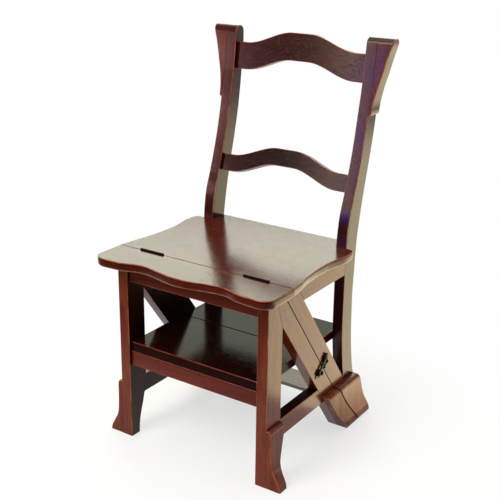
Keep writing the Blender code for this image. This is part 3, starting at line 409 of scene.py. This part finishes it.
def blackened_iron(name, finish, worn=0.0, rubbed="#8d867c", mottle=1.0):
    """Small cast and forged iron fittings, blackened in oil and handled bright at the edges.

    The eye sees near black metal with a soft uneven sheen, cast grains about 2 mm
    across, and brighter rubbed spots of about 8 mm. Worn is how bright the spots are,
    and mottle is how much of the oil's black lies over them.
    """
    material, tree = new_material(name)
    place = add_node(tree, "ShaderNodeTexCoord")
    skin = add_node(tree, "ShaderNodeTexNoise", None, {
        "Vector": (place, "Object"), "Scale": 420.0, "Detail": 4.0, "Roughness": 0.65})
    patches = add_node(tree, "ShaderNodeTexNoise", None, {
        "Vector": (place, "Object"), "Scale": 130.0, "Detail": 2.0, "Roughness": 0.5})
    patch_share = add_node(tree, "ShaderNodeMapRange", {"interpolation_type": "SMOOTHSTEP"}, {
        "Value": (patches, "Fac"), "From Min": 0.42, "From Max": 0.66,
        "To Min": 0.45 * worn, "To Max": worn})
    colour = add_node(tree, "ShaderNodeMix", {"data_type": "RGBA"}, {
        0: (patch_share, "Result"), 6: tuple(finish.iron), 7: linear(rubbed)})
    mottled_share = add_node(tree, "ShaderNodeMath", {"operation": "MULTIPLY"}, {
        0: (skin, "Fac"), 1: mottle})
    mottled = add_node(tree, "ShaderNodeMix", {"data_type": "RGBA"}, {
        0: (mottled_share, "Value"), 6: (colour, 2), 7: linear("#0a0908")})
    rough = add_node(tree, "ShaderNodeMapRange", None, {
        "Value": (skin, "Fac"), "From Min": 0.3, "From Max": 0.7, "To Min": 0.26, "To Max": 0.48})
    bump = add_node(tree, "ShaderNodeBump", None, {
        "Height": (skin, "Fac"), "Strength": 0.3, "Distance": 0.0002})
    shader = add_node(tree, "ShaderNodeBsdfPrincipled", None, {
        "Base Color": (mottled, 2), "Metallic": (patch_share, "Result"),
        "Roughness": (rough, "Result"), "Specular IOR Level": 0.04,
        "Normal": (bump, "Normal")})
    add_node(tree, "ShaderNodeOutputMaterial", None, {"Surface": (shader, "BSDF")})
    return material


# Shaping

def clear_selection():
    """Deselect every object."""
    if bpy.context.object and bpy.context.object.mode != "OBJECT":
        bpy.ops.object.mode_set(mode="OBJECT")
    bpy.ops.object.select_all(action="DESELECT")


def make_active(piece):
    """Select one object only."""
    clear_selection()
    piece.select_set(True)
    bpy.context.view_layer.objects.active = piece


def copy_solid(node, name):
    """Copy of a node with one skin of flat faces, free of the model's marks."""
    make_active(NODES[node])
    bpy.ops.object.duplicate()
    piece = bpy.context.active_object
    bpy.ops.object.parent_clear(type="CLEAR_KEEP_TRANSFORM")
    del piece["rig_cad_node"]
    del piece["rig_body"]
    piece.name = name
    piece.data.name = name
    piece.data.materials.clear()
    bpy.ops.object.mode_set(mode="EDIT")
    bpy.ops.mesh.select_all(action="SELECT")
    bpy.ops.mesh.remove_doubles(threshold=MERGE)
    bpy.ops.mesh.customdata_custom_splitnormals_clear()
    bpy.ops.mesh.dissolve_limited(angle_limit=FLAT_FOLD)
    bpy.ops.object.mode_set(mode="OBJECT")
    return piece


def cut_at(piece, point, normal):
    """Cut the whole skin along a plane, which leaves a loop of edges there."""
    make_active(piece)
    bpy.ops.object.mode_set(mode="EDIT")
    bpy.ops.mesh.select_all(action="SELECT")
    bpy.ops.mesh.bisect(plane_co=point, plane_no=normal)
    bpy.ops.object.mode_set(mode="OBJECT")


def near(low, high, other_low, other_high, reach):
    """True where two boxes come within reach of each other."""
    return all(low[i] - reach < other_high[i] and other_low[i] - reach < high[i] for i in range(3))


def neighbours(node):
    """Wooden nodes beside this one, each with a search tree, its box and its body."""
    found = []
    low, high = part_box(node)
    for other in WOOD_NODES:
        if other == node:
            continue
        other_low, other_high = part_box(other)
        if near(low, high, other_low, other_high, JOINT_REACH):
            mesh = NODES[other].data
            corners = [v.co.copy() for v in mesh.vertices]
            faces = [tuple(p.vertices) for p in mesh.polygons]
            tree = BVHTree.FromPolygons(corners, faces)
            found.append((tree, other_low.z, other_high.z, BODY_OF[other]))
    return found


def ease_edges(piece, node, sizes, wide=1.0, open_front=False):
    """Round the free edges, and only break the ones against another board, with painted shade where
    that board is of the other unit.
    """
    beside = neighbours(node)
    low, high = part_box(node)
    heights = []
    for _, floor, ceiling, _ in beside:
        for z in (floor, ceiling):
            inside = low.z + CUT_FROM_END < z < high.z - CUT_FROM_END
            if inside and all(abs(z - h) > CUT_FROM_CUT for h in heights):
                heights.append(z)
    for z in heights:
        cut_at(piece, (0, 0, z), (0, 0, 1))
    shape = bmesh.new()
    shape.from_mesh(piece.data)
    weight = shape.edges.layers.float.new("bevel_weight_edge")
    arris = sizes.arris_width * wide
    for edge in shape.edges:
        if len(edge.link_faces) != 2 or edge.calc_face_angle(0) < WOOD_FOLD:
            continue
        width = arris
        start, end = (v.co for v in edge.verts)
        samples = [start.lerp(end, share) for share in EDGE_SHARES]
        at_front = max(start.y, end.y) < low.y + MERGE and abs(start.z - end.z) < MERGE
        for tree, _, _, body in beside:
            touching = sum(tree.find_nearest(p, JOINT_REACH)[0] is not None for p in samples)
            if touching >= FOUND_AT and not (open_front and at_front):
                same = body == BODY_OF[node]
                width = min(width, sizes.joint_width if same else sizes.meeting_width * wide)
        edge[weight] = width / arris
    shape.to_mesh(piece.data)
    shape.free()
    round_edges(piece, arris, "WEIGHT")
    shade_seams(piece, BODY_OF[node], beside, JOINT_REACH + sizes.meeting_width * wide)


def shade_seams(piece, own_body, beside, wider):
    """Plain stain on edges against the same unit, and painted shade on those against the other
    unit.
    """
    reaches = [(tree, body, JOINT_REACH if body == own_body else wider)
               for tree, _, _, body in beside]
    for face in piece.data.polygons:
        if face.material_index == ARRIS:
            against = {body for tree, body, reach in reaches
                       if tree.find_nearest(face.center, reach)[0] is not None}
            if against:
                face.material_index = FACE if against == {own_body} else GROOVE_SHADE


def round_edges(piece, width, method, segments=3, finish=ARRIS):
    """Round the chosen edges with their own finish, and give the flat faces flat light."""
    make_active(piece)
    step = piece.modifiers.new("rounding", "BEVEL")
    step.width = width
    step.segments = segments
    step.limit_method = method
    step.angle_limit = IRON_FOLD
    step.material = finish
    step.use_clamp_overlap = method == "ANGLE"
    bpy.ops.object.modifier_apply(modifier=step.name)
    smooth_light(piece)


def smooth_light(piece):
    """Smooth light over the curves and flat light on the flats."""
    make_active(piece)
    bpy.ops.object.shade_smooth_by_angle(angle=SMOOTH_FOLD)
    step = piece.modifiers.new("even_light", "WEIGHTED_NORMAL")
    step.keep_sharp = True
    bpy.ops.object.modifier_apply(modifier=step.name)


def hand_over(piece, node):
    """Make the piece stand for its node and move with its body."""
    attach(piece, BODY_OF[node])
    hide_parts(node)


def pair(name, shift):
    """The left and the right node of a name, each with a shift for its own figure."""
    return ((name + "_left", shift), (name + "_right", shift + PAIR_SHIFT))


def dress_board(node, turn, shift, context, gloss=1.0, darker=0.0, rub=0.0, film=1.0,
                wide=1.0, edge_rub=0.75, open_front=False):
    """Copy a board, give it its finishes and work its edges, which may be wider.

    A board with an open front has its level front edges worked as free ones.
    """
    sizes = context.scene.step_chair_sizes
    finish = context.scene.step_chair_finish
    piece = copy_solid(node, node + "_board")
    face = lacquered_mahogany("lacquered_mahogany_" + node, finish, turn, shift,
                              rub=rub, darker=darker, gloss=gloss, film=film)
    arris = lacquered_mahogany("rubbed_mahogany_arris_" + node, finish, turn, shift,
                               rub=edge_rub)
    # Painted shade in the seams against the other unit: a near-black colour with little lacquer
    joint = lacquered_mahogany("painted_shade_joint_" + node, finish, turn, shift, darker=0.95,
                               film=0.12)
    for material in (face, arris, joint):
        piece.data.materials.append(material)
    ease_edges(piece, node, sizes, wide, open_front)
    if node == "front_shelf":
        shade_groove(piece, node)
    hand_over(piece, node)
    return piece


def shade_groove(piece, node):
    """Painted shade on the lower front edge, in the groove that runs along the joint."""
    low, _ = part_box(node)
    for face in piece.data.polygons:
        in_groove = face.center.z < low.z + GROOVE and face.center.y < low.y + GROOVE
        if face.material_index == ARRIS and in_groove:
            face.material_index = GROOVE_SHADE


def on_front_rim(place, normal):
    """True on the front board's bulged edge and on its two ends."""
    on_end = abs(normal.x) > SIDEWAYS_SHARE and abs(place.x) > FRAME_X
    return place.y < SEAM_Y - SEAM_MARGIN or on_end


def on_side_rim(place, _):
    """True on the rear board's waved sides, past the notches for the posts."""
    return abs(place.x) > FRAME_X + NOTCH_MARGIN


def mould_edge(piece, is_outside):
    """Shape the outer edge of a seat board ring by ring, and break its edge at the joint."""
    for drop, _, _ in SEAT_EDGE[1:-1]:
        cut_at(piece, (0, 0, SEAT_TOP - drop), (0, 0, 1))
    shape = bmesh.new()
    shape.from_mesh(piece.data)
    shape.normal_update()
    moves = {}
    for face in shape.faces:
        middle = face.calc_center_median()
        if abs(face.normal.z) > LEVEL_SHARE or not is_outside(middle, face.normal):
            continue
        for vert in face.verts:
            moves.setdefault(vert, []).append(face.normal.copy())
        drop = SEAT_TOP - middle.z
        ring = max(i for i, row in enumerate(SEAT_EDGE) if row[0] <= drop)
        face.material_index = SEAT_EDGE[ring][2]
    for vert, normals in moves.items():
        out = sum(normals, Vector())
        out.z = 0
        out.normalize()
        mitre = max(MITRE_LIMIT, out.dot(normals[0]))
        drop = SEAT_TOP - vert.co.z
        nearest = min(SEAT_EDGE, key=lambda row: abs(row[0] - drop))
        shift = out * (-nearest[1] / mitre)
        if abs(vert.co.y - SEAM_Y) < SEAM_REACH:
            shift.y = 0
        vert.co += shift
    weight = shape.edges.layers.float.new("bevel_weight_edge")
    for edge in shape.edges:
        start, end = (v.co for v in edge.verts)
        on_top = min(start.z, end.z) > SEAT_TOP - MERGE
        if on_top and all(abs(p.y - SEAM_Y) < SEAM_REACH for p in (start, end)):
            edge[weight] = 1.0
    shape.to_mesh(piece.data)
    shape.free()
    # The broken edge along the joint takes painted shade
    round_edges(piece, SEAM_ARRIS, "WEIGHT", segments=2, finish=GROOVE_SHADE)


# One operator for each group of pieces

class STEPCHAIR_OT_seat(bpy.types.Operator):
    """Dress the two seat boards with their moulded edge"""

    bl_idname = "step_chair.seat"
    bl_label = "Seat boards"

    def execute(self, context):
        finish = context.scene.step_chair_finish
        for node, shift in SEAT_BOARDS:
            piece = copy_solid(node, node + "_moulded")
            top = lacquered_mahogany("lacquered_mahogany_" + node, finish, ACROSS, shift,
                                     gloss=0.8, darker=0.45)
            arris = lacquered_mahogany("rubbed_mahogany_arris_" + node, finish, ACROSS, shift,
                                       rub=0.6)
            # The quirk and the broken edge along the joint take painted shade
            quirk = lacquered_mahogany("painted_shade_quirk_" + node, finish, ACROSS, shift,
                                       darker=0.9, film=0.3)
            for material in (top, arris, quirk):
                piece.data.materials.append(material)
            mould_edge(piece, on_front_rim if node == "front_seat_board" else on_side_rim)
            hand_over(piece, node)
        return {"FINISHED"}


class STEPCHAIR_OT_side_frames(bpy.types.Operator):
    """Dress the legs, posts, diagonals, side rails and side aprons"""

    bl_idname = "step_chair.side_frames"
    bl_label = "Side frames"

    def execute(self, context):
        for name, turn, shift, rub, darker in SIDE_BOARDS:
            for node, own_shift in pair(name, shift):
                board = dress_board(node, turn, own_shift, context, rub=rub, darker=darker)
                # Boards with no darker colour of their own get painted shade on their inner faces
                if darker == 0:
                    self.paint_shade_inside(board, turn, own_shift, context)
        return {"FINISHED"}

    def paint_shade_inside(self, board, turn, shift, context):
        """Painted shade, a darker colour with none of it rubbed, on the faces that look into the
        frame.
        """
        finish = context.scene.step_chair_finish
        board.data.materials.append(lacquered_mahogany(
            "painted_shade_mahogany_" + board.name, finish, turn, shift, darker=INSIDE_SHADE_DARKER))
        for face in board.data.polygons:
            inward = face.normal.x * face.center.x < -INSIDE_SHADE_SHARE * FRAME_X
            on_rail = "side_rail" in board.name and face.normal.z > INSIDE_SHADE_SHARE
            if face.material_index == FACE and (inward or on_rail):
                face.material_index = INSIDE_SHADE


class STEPCHAIR_OT_feet(bpy.types.Operator):
    """Dress the flared foot pads and the blocks on the posts' tops"""

    bl_idname = "step_chair.feet"
    bl_label = "Feet and top blocks"

    def execute(self, context):
        for name, turn, shift, rub, darker, film in BLOCKS:
            for node, own_shift in pair(name, shift):
                dress_board(node, turn, own_shift, context, rub=rub, darker=darker, film=film,
                            wide=HANDLED)
        return {"FINISHED"}


class STEPCHAIR_OT_cross_boards(bpy.types.Operator):
    """Dress the aprons, the shelf rail, the shelves and the top step board"""

    bl_idname = "step_chair.cross_boards"
    bl_label = "Boards across"

    def execute(self, context):
        for node, shift in CROSS_BOARDS:
            dress_board(node, ACROSS, shift, context, open_front=node == "shelf_front_rail")
        # The shelves are near-black: painted shade, as they sit under the seat
        for node, shift in SHELVES:
            dress_board(node, ACROSS, shift, context, gloss=0.4, darker=0.92, film=0.27,
                        edge_rub=0.15, wide=HANDLED, open_front=node == "front_shelf")
        return {"FINISHED"}


class STEPCHAIR_OT_back_rails(bpy.types.Operator):
    """Dress the two waved rails of the back"""

    bl_idname = "step_chair.back_rails"
    bl_label = "Back rails"

    def execute(self, context):
        for node, shift, darker in BACK_RAILS:
            dress_board(node, ACROSS, shift, context, darker=darker)
        return {"FINISHED"}


class STEPCHAIR_OT_glue_blocks(bpy.types.Operator):
    """Give the hidden glue blocks their bare wood"""

    bl_idname = "step_chair.glue_blocks"
    bl_label = "Glue blocks"

    def execute(self, context):
        bare = bare_mahogany("bare_mahogany_glue_block", context.scene.step_chair_finish)
        for node in GLUE_BLOCKS:
            mesh = NODES[node].data
            mesh.materials.clear()
            mesh.materials.append(bare)
        return {"FINISHED"}


class STEPCHAIR_OT_hinges(bpy.types.Operator):
    """Dress the butt hinges with rounded knuckles, pins and screws"""

    bl_idname = "step_chair.hinges"
    bl_label = "Seat hinges"

    def execute(self, context):
        finish = context.scene.step_chair_finish
        sizes = context.scene.step_chair_sizes
        skin = blackened_iron("blackened_iron_hinge", finish)
        edge = blackened_iron("rubbed_iron_hinge_edge", finish, worn=0.35)
        for node in [n for n in NODES if n.startswith("hinge_")]:
            piece = copy_solid(node, node + "_worked")
            piece.data.materials.append(skin)
            piece.data.materials.append(edge)
            round_edges(piece, sizes.iron_width * HINGE_EDGE_SHARE, "ANGLE", segments=2)
            hand_over(piece, node)
        return {"FINISHED"}


def make_scroll():
    """C-shaped cast scroll about X that winds inwards to a button."""
    clear_selection()
    bpy.ops.mesh.primitive_circle_add(
        vertices=SCROLL_SIDES, radius=SCROLL_WIRE, fill_type="NGON")
    scroll = bpy.context.active_object
    bpy.ops.object.mode_set(mode="EDIT")
    bpy.ops.mesh.select_all(action="SELECT")
    bpy.ops.transform.translate(value=(0, SCROLL_RING, 0))
    bpy.ops.mesh.spin(
        steps=SCROLL_STEPS, angle=SCROLL_SWEEP, center=(0, 0, 0), axis=(1, 0, 0))
    bpy.ops.object.mode_set(mode="OBJECT")
    for vert in scroll.data.vertices:
        angle = math.atan2(vert.co.z, vert.co.y) % math.tau
        inward = 1 - SCROLL_WINDING * angle / SCROLL_SWEEP
        vert.co.y *= inward
        vert.co.z *= inward
    end = SCROLL_RING * (1 - SCROLL_WINDING)
    bpy.ops.mesh.primitive_uv_sphere_add(
        segments=SCROLL_SIDES, ring_count=BUTTON_RINGS, radius=SCROLL_BUTTON,
        location=(0, end * math.cos(SCROLL_SWEEP), end * math.sin(SCROLL_SWEEP)))
    bpy.ops.object.transform_apply(location=True, rotation=True, scale=True)
    scroll.select_set(True)
    bpy.context.view_layer.objects.active = scroll
    bpy.ops.object.join()
    bpy.ops.object.mode_set(mode="EDIT")
    bpy.ops.mesh.select_all(action="SELECT")
    bpy.ops.mesh.normals_make_consistent(inside=False)
    bpy.ops.object.mode_set(mode="OBJECT")
    smooth_light(scroll)
    return scroll


class STEPCHAIR_OT_latches(bpy.types.Operator):
    """Dress the hook latches, their plates, scrolls, pivots and screws"""

    bl_idname = "step_chair.latches"
    bl_label = "Hook latches"

    def execute(self, context):
        finish = context.scene.step_chair_finish
        sizes = context.scene.step_chair_sizes
        skin = blackened_iron("blackened_iron_latch", finish)
        edge = blackened_iron("rubbed_iron_latch_edge", finish, worn=0.6)
        # The screw heads are bright worn metal, partly a painted glint
        bright = blackened_iron("worn_iron_screw_painted_glint", finish, worn=1.0, rubbed="#f2eee6",
                                mottle=0.3)
        for node in [n for n in NODES if n.startswith(("latch_", "catch_"))]:
            piece = copy_solid(node, node + "_worked")
            handled = "screw" in node
            piece.data.materials.append(bright if handled else skin)
            piece.data.materials.append(bright if handled else edge)
            round_edges(piece, sizes.iron_width, "ANGLE", segments=2)
            hand_over(piece, node)
        self.add_scrolls(skin)
        return {"FINISHED"}

    def add_scrolls(self, skin):
        """Scrolls cast on the plates, flat enough for the hook to pass over them."""
        pattern = make_scroll()
        pattern.data.materials.append(skin)
        joints = {j["name"]: j for j in frame["record"]["behaviour"]["joints"]}
        for side, label in ((-1, "left"), (1, "right")):
            pivot = Vector(joints[f"hook_{label}_pivot"]["pos_m"])
            heads = [v.co for v in NODES[f"catch_plate_{label}"].data.vertices]
            reach = max(side * p.x for p in heads)
            tops = [p for p in heads if side * p.x > reach - MERGE]
            stud = sum(tops, Vector()) / len(tops)
            along = Vector((0, stud.y - pivot.y, stud.z - pivot.z)).normalized()
            below = Vector((0, along.z, -along.y))
            bases = {"latch_plate": pivot, "catch_plate": stud}
            for number, (plate, forward, down, turn, size, height) in enumerate(SCROLLS):
                place = bases[plate] + along * forward + below * down
                place.x = side * (FRAME_X + SCROLL_WIRE * height + SCROLL_LIFT)
                make_active(pattern)
                bpy.ops.object.duplicate()
                scroll = bpy.context.active_object
                scroll.name = f"{plate}_{label}_scroll_{number + 1}"
                scroll.data.name = scroll.name
                spread = Matrix.Diagonal((height, size, size, 1))
                scroll.data.transform(Matrix.Translation(place)
                                      @ Matrix.Rotation(math.radians(turn), 4, "X") @ spread)
                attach(scroll, BODY_OF[f"{plate}_{label}"])
        bpy.data.objects.remove(pattern)


# Stage

# Camera of the photograph, fitted to points of known height. Its focal length was found in
# pixels of the photograph, which is as wide as the sensor.
CAMERA_PLACE = (1.1071, -1.6410, 1.1517)
CAMERA_AZIMUTH = math.radians(33.563)
CAMERA_ELEVATION = math.radians(19.780)
CAMERA_ROLL = math.radians(0.783)
SENSOR_WIDTH = 36
PHOTO_PIXELS = 500
FOCAL_PIXELS = 937.76
NEAREST_SEEN = 0.05
FARTHEST_SEEN = 60

# Round floor, and the width of the outer ring that is inset in it
FLOOR_RADIUS = 16
FLOOR_RING = 13

# Soft boxes: place, aim, width, height, strength where 1 is white, colour
SOFT_BOXES = (
    ("backdrop_panel", (-1.45, 2.3, 2.05), (0.0, 0.2, 0.90), 3.4, 1.5, 3.7, "#f8ffe4"),
    ("floor_bounce", (1.45, 1.6, 0.004), (1.45, 1.6, 1.0), 2.4, 2.9, 2.9, "#fff2b6"),
    ("front_box", (-0.6, -2.1, 2.6), (0.0, 0.0, 0.40), 1.4, 1.4, 12.0, "#fffdf8"),
    ("violet_window", (-0.44, -1.15, 0.82), (0.185, 0.05, 0.66), 0.07, 0.40, 21.0, "#4c3af4"),
    ("pale_curtain", (-0.55, -1.12, 1.22), (0.10, 0.10, 0.70), 0.12, 0.80, 16.0, "#f0c8a4"),
    ("pale_doorway", (-1.23, -1.12, 0.80), (-0.18, 0.10, 0.62), 0.14, 0.44, 24.0, "#f4b0b4"),
    ("top_box", (0.2, -0.2, 2.9), (0.0, 0.0, 0.0), 2.4, 2.4, 2.4, "#ffffff"),
)

# The narrow boxes are a window, a curtain and a doorway that only the lacquer mirrors
MIRRORED_ONLY = ("violet_window", "pale_curtain", "pale_doorway")


def white_to_the_eye(tree, place, front, back, dimmest=0.0):
    """Share of white: all of it to the eye, and in gloss only towards the back.

    Place is the output whose Y runs backwards, and the gloss brightens from front to back.
    The path, the share seen in gloss and the whole share are given back.
    """
    path = add_node(tree, "ShaderNodeLightPath")
    seen = add_node(tree, "ShaderNodeMath", {"operation": "MAXIMUM"}, {
        0: (path, "Is Camera Ray"), 1: (path, "Is Transmission Ray")})
    parts = add_node(tree, "ShaderNodeSeparateXYZ", None, {"Vector": place})
    behind = add_node(tree, "ShaderNodeMapRange", {"interpolation_type": "SMOOTHSTEP"}, {
        "Value": (parts, "Y"), "From Min": front, "From Max": back, "To Min": dimmest})
    mirrored = add_node(tree, "ShaderNodeMath", {"operation": "MULTIPLY"}, {
        0: (path, "Is Glossy Ray"), 1: (behind, "Result")})
    whole = add_node(tree, "ShaderNodeMath", {"operation": "MAXIMUM"}, {
        0: (seen, "Value"), 1: (mirrored, "Value")})
    return path, mirrored, whole


class STEPCHAIR_OT_stage(bpy.types.Operator):
    """Set the pale floor, the soft boxes, the white surround and the camera"""

    bl_idname = "step_chair.stage"
    bl_label = "Stage"

    def execute(self, context):
        stage = context.scene.step_chair_stage
        self.add_floor(stage)
        self.add_lamps(stage)
        self.add_surround(context.scene, stage)
        self.add_camera(context.scene)
        context.scene.view_settings.view_transform = "Standard"
        return {"FINISHED"}

    def add_floor(self, stage):
        """Pale paper that takes the chair's shadow and fades to white around it."""
        clear_selection()
        bpy.ops.mesh.primitive_circle_add(vertices=96, radius=FLOOR_RADIUS, fill_type="NGON")
        floor = bpy.context.active_object
        floor.name = "floor"
        bpy.ops.object.mode_set(mode="EDIT")
        bpy.ops.mesh.inset(thickness=FLOOR_RING)
        bpy.ops.object.mode_set(mode="OBJECT")
        material, tree = new_material("pale_paper_floor")
        place = add_node(tree, "ShaderNodeTexCoord")
        reach = add_node(tree, "ShaderNodeVectorMath", {"operation": "LENGTH"}, {
            0: (place, "Object")})
        # Shadow shows by a third under the chair, and no more 0.75 m from its middle
        fade = add_node(tree, "ShaderNodeMapRange", {"interpolation_type": "SMOOTHSTEP"}, {
            "Value": (reach, "Value"), "From Min": 0.22, "From Max": 0.75, "To Min": 0.66})
        path, mirrored, whole = white_to_the_eye(tree, (place, "Object"), -0.9, -0.2)
        share = add_node(tree, "ShaderNodeMath", {"operation": "MULTIPLY"}, {
            0: (fade, "Result"), 1: (whole, "Value")})
        tone = add_node(tree, "ShaderNodeTexNoise", None, {
            "Vector": (place, "Object"), "Scale": 5.0, "Detail": 2.0})
        colour = add_node(tree, "ShaderNodeMix", {"data_type": "RGBA"}, {
            0: (tone, "Fac"), 6: tuple(stage.floor), 7: linear("#efeee8")})
        paper = add_node(tree, "ShaderNodeBsdfDiffuse", None, {"Color": (colour, 2)})
        white = add_node(tree, "ShaderNodeEmission", None, {
            "Color": (1.0, 1.0, 1.0, 1.0), "Strength": 1.0})
        mixed = add_node(tree, "ShaderNodeMixShader", None, {
            0: (share, "Value"), 1: (paper, "BSDF"), 2: (white, "Emission")})
        # In gloss, the floor in front of the chair is dim
        ahead = add_node(tree, "ShaderNodeMath", {"operation": "SUBTRACT"}, {
            0: (path, "Is Glossy Ray"), 1: (mirrored, "Value")})
        dim = add_node(tree, "ShaderNodeEmission", None, {
            "Color": (1.0, 0.9, 0.8, 1.0), "Strength": 0.12})
        lit = add_node(tree, "ShaderNodeMixShader", None, {
            0: (ahead, "Value"), 1: (mixed, "Shader"), 2: (dim, "Emission")})
        add_node(tree, "ShaderNodeOutputMaterial", None, {"Surface": (lit, "Shader")})
        floor.data.materials.append(material)

    def add_lamps(self, stage):
        """Soft boxes that the eye doesn't see."""
        for name, place, aim, width, height, strength, colour in SOFT_BOXES:
            clear_selection()
            bpy.ops.object.light_add(type="AREA", location=place)
            lamp = bpy.context.active_object
            lamp.name = name
            lamp.rotation_mode = "QUATERNION"
            direction = Vector(aim) - Vector(place)
            lamp.rotation_quaternion = direction.to_track_quat("-Z", "Y")
            lamp.data.shape = "RECTANGLE"
            lamp.data.size = width
            lamp.data.size_y = height
            lamp.data.color = linear(colour)[:3]
            lamp.data.energy = strength * stage.light_level * math.pi * width * height
            lamp.visible_camera = False
            lamp.visible_diffuse = name not in MIRRORED_ONLY

    def add_surround(self, scene, stage):
        """White backdrop behind the chair, and a dim room in front of it."""
        world = bpy.data.worlds.new("white_surround")
        scene.world = world
        world.use_nodes = True
        tree = world.node_tree
        tree.nodes.clear()
        direction = add_node(tree, "ShaderNodeTexCoord")
        _, _, whole = white_to_the_eye(tree, (direction, "Generated"), -0.35, 0.35, 0.08)
        strength = add_node(tree, "ShaderNodeMapRange", None, {
            "Value": (whole, "Value"), "To Min": 0.18 * stage.light_level, "To Max": 1.0})
        white = add_node(tree, "ShaderNodeBackground", None, {
            "Color": (1.0, 1.0, 1.0, 1.0), "Strength": (strength, "Result")})
        add_node(tree, "ShaderNodeOutputWorld", None, {"Surface": (white, "Background")})

    def add_camera(self, scene):
        """Camera at the place that the photograph was taken from."""
        clear_selection()
        bpy.ops.object.camera_add(location=CAMERA_PLACE)
        camera = bpy.context.active_object
        camera.name = "camera"
        camera.data.lens = SENSOR_WIDTH * FOCAL_PIXELS / PHOTO_PIXELS
        camera.data.sensor_width = SENSOR_WIDTH
        camera.data.clip_start = NEAREST_SEEN
        camera.data.clip_end = FARTHEST_SEEN
        back = Vector((math.sin(CAMERA_AZIMUTH) * math.cos(CAMERA_ELEVATION),
                       -math.cos(CAMERA_AZIMUTH) * math.cos(CAMERA_ELEVATION),
                       math.sin(CAMERA_ELEVATION)))
        right = (-back).cross(Vector((0, 0, 1))).normalized()
        up = right.cross(-back)
        tilted_right = right * math.cos(CAMERA_ROLL) + up * math.sin(CAMERA_ROLL)
        tilted_up = up * math.cos(CAMERA_ROLL) - right * math.sin(CAMERA_ROLL)
        facing = Matrix((tilted_right, tilted_up, back)).transposed().to_4x4()
        camera.matrix_world = Matrix.Translation(CAMERA_PLACE) @ facing
        scene.camera = camera


class STEPCHAIR_PT_panel(bpy.types.Panel):
    """Sizes, finishes and stage of the step chair"""

    bl_idname = "STEPCHAIR_PT_panel"
    bl_label = "Step chair"
    bl_space_type = "VIEW_3D"
    bl_region_type = "UI"
    bl_category = "Step chair"

    def draw(self, context):
        layout = self.layout
        scene = context.scene
        for group in (scene.step_chair_sizes, scene.step_chair_finish, scene.step_chair_stage):
            column = layout.column(align=True)
            for name in group.__annotations__:
                column.prop(group, name)
        for operator in OPERATORS:
            layout.operator(operator.bl_idname)


GROUPS = (
    ("step_chair_sizes", StepChairSizes),
    ("step_chair_finish", StepChairFinish),
    ("step_chair_stage", StepChairStage),
)
OPERATORS = (
    STEPCHAIR_OT_seat, STEPCHAIR_OT_side_frames, STEPCHAIR_OT_feet, STEPCHAIR_OT_cross_boards,
    STEPCHAIR_OT_back_rails, STEPCHAIR_OT_glue_blocks, STEPCHAIR_OT_hinges,
    STEPCHAIR_OT_latches, STEPCHAIR_OT_stage,
)


def register():
    """Register the settings, the operators and the panel."""
    for name, group in GROUPS:
        bpy.utils.register_class(group)
        setattr(bpy.types.Scene, name, PointerProperty(type=group))
    for operator in OPERATORS:
        bpy.utils.register_class(operator)
    bpy.utils.register_class(STEPCHAIR_PT_panel)


def unregister():
    """Take the panel, the operators and the settings away again."""
    bpy.utils.unregister_class(STEPCHAIR_PT_panel)
    for operator in reversed(OPERATORS):
        bpy.utils.unregister_class(operator)
    for name, group in reversed(GROUPS):
        delattr(bpy.types.Scene, name)
        bpy.utils.unregister_class(group)


def main():
    """Dress the chair and set the stage."""
    register()
    bpy.ops.step_chair.seat()
    bpy.ops.step_chair.side_frames()
    bpy.ops.step_chair.feet()
    bpy.ops.step_chair.cross_boards()
    bpy.ops.step_chair.back_rails()
    bpy.ops.step_chair.glue_blocks()
    bpy.ops.step_chair.hinges()
    bpy.ops.step_chair.latches()
    bpy.ops.step_chair.stage()


if __name__ == "__main__":
    main()
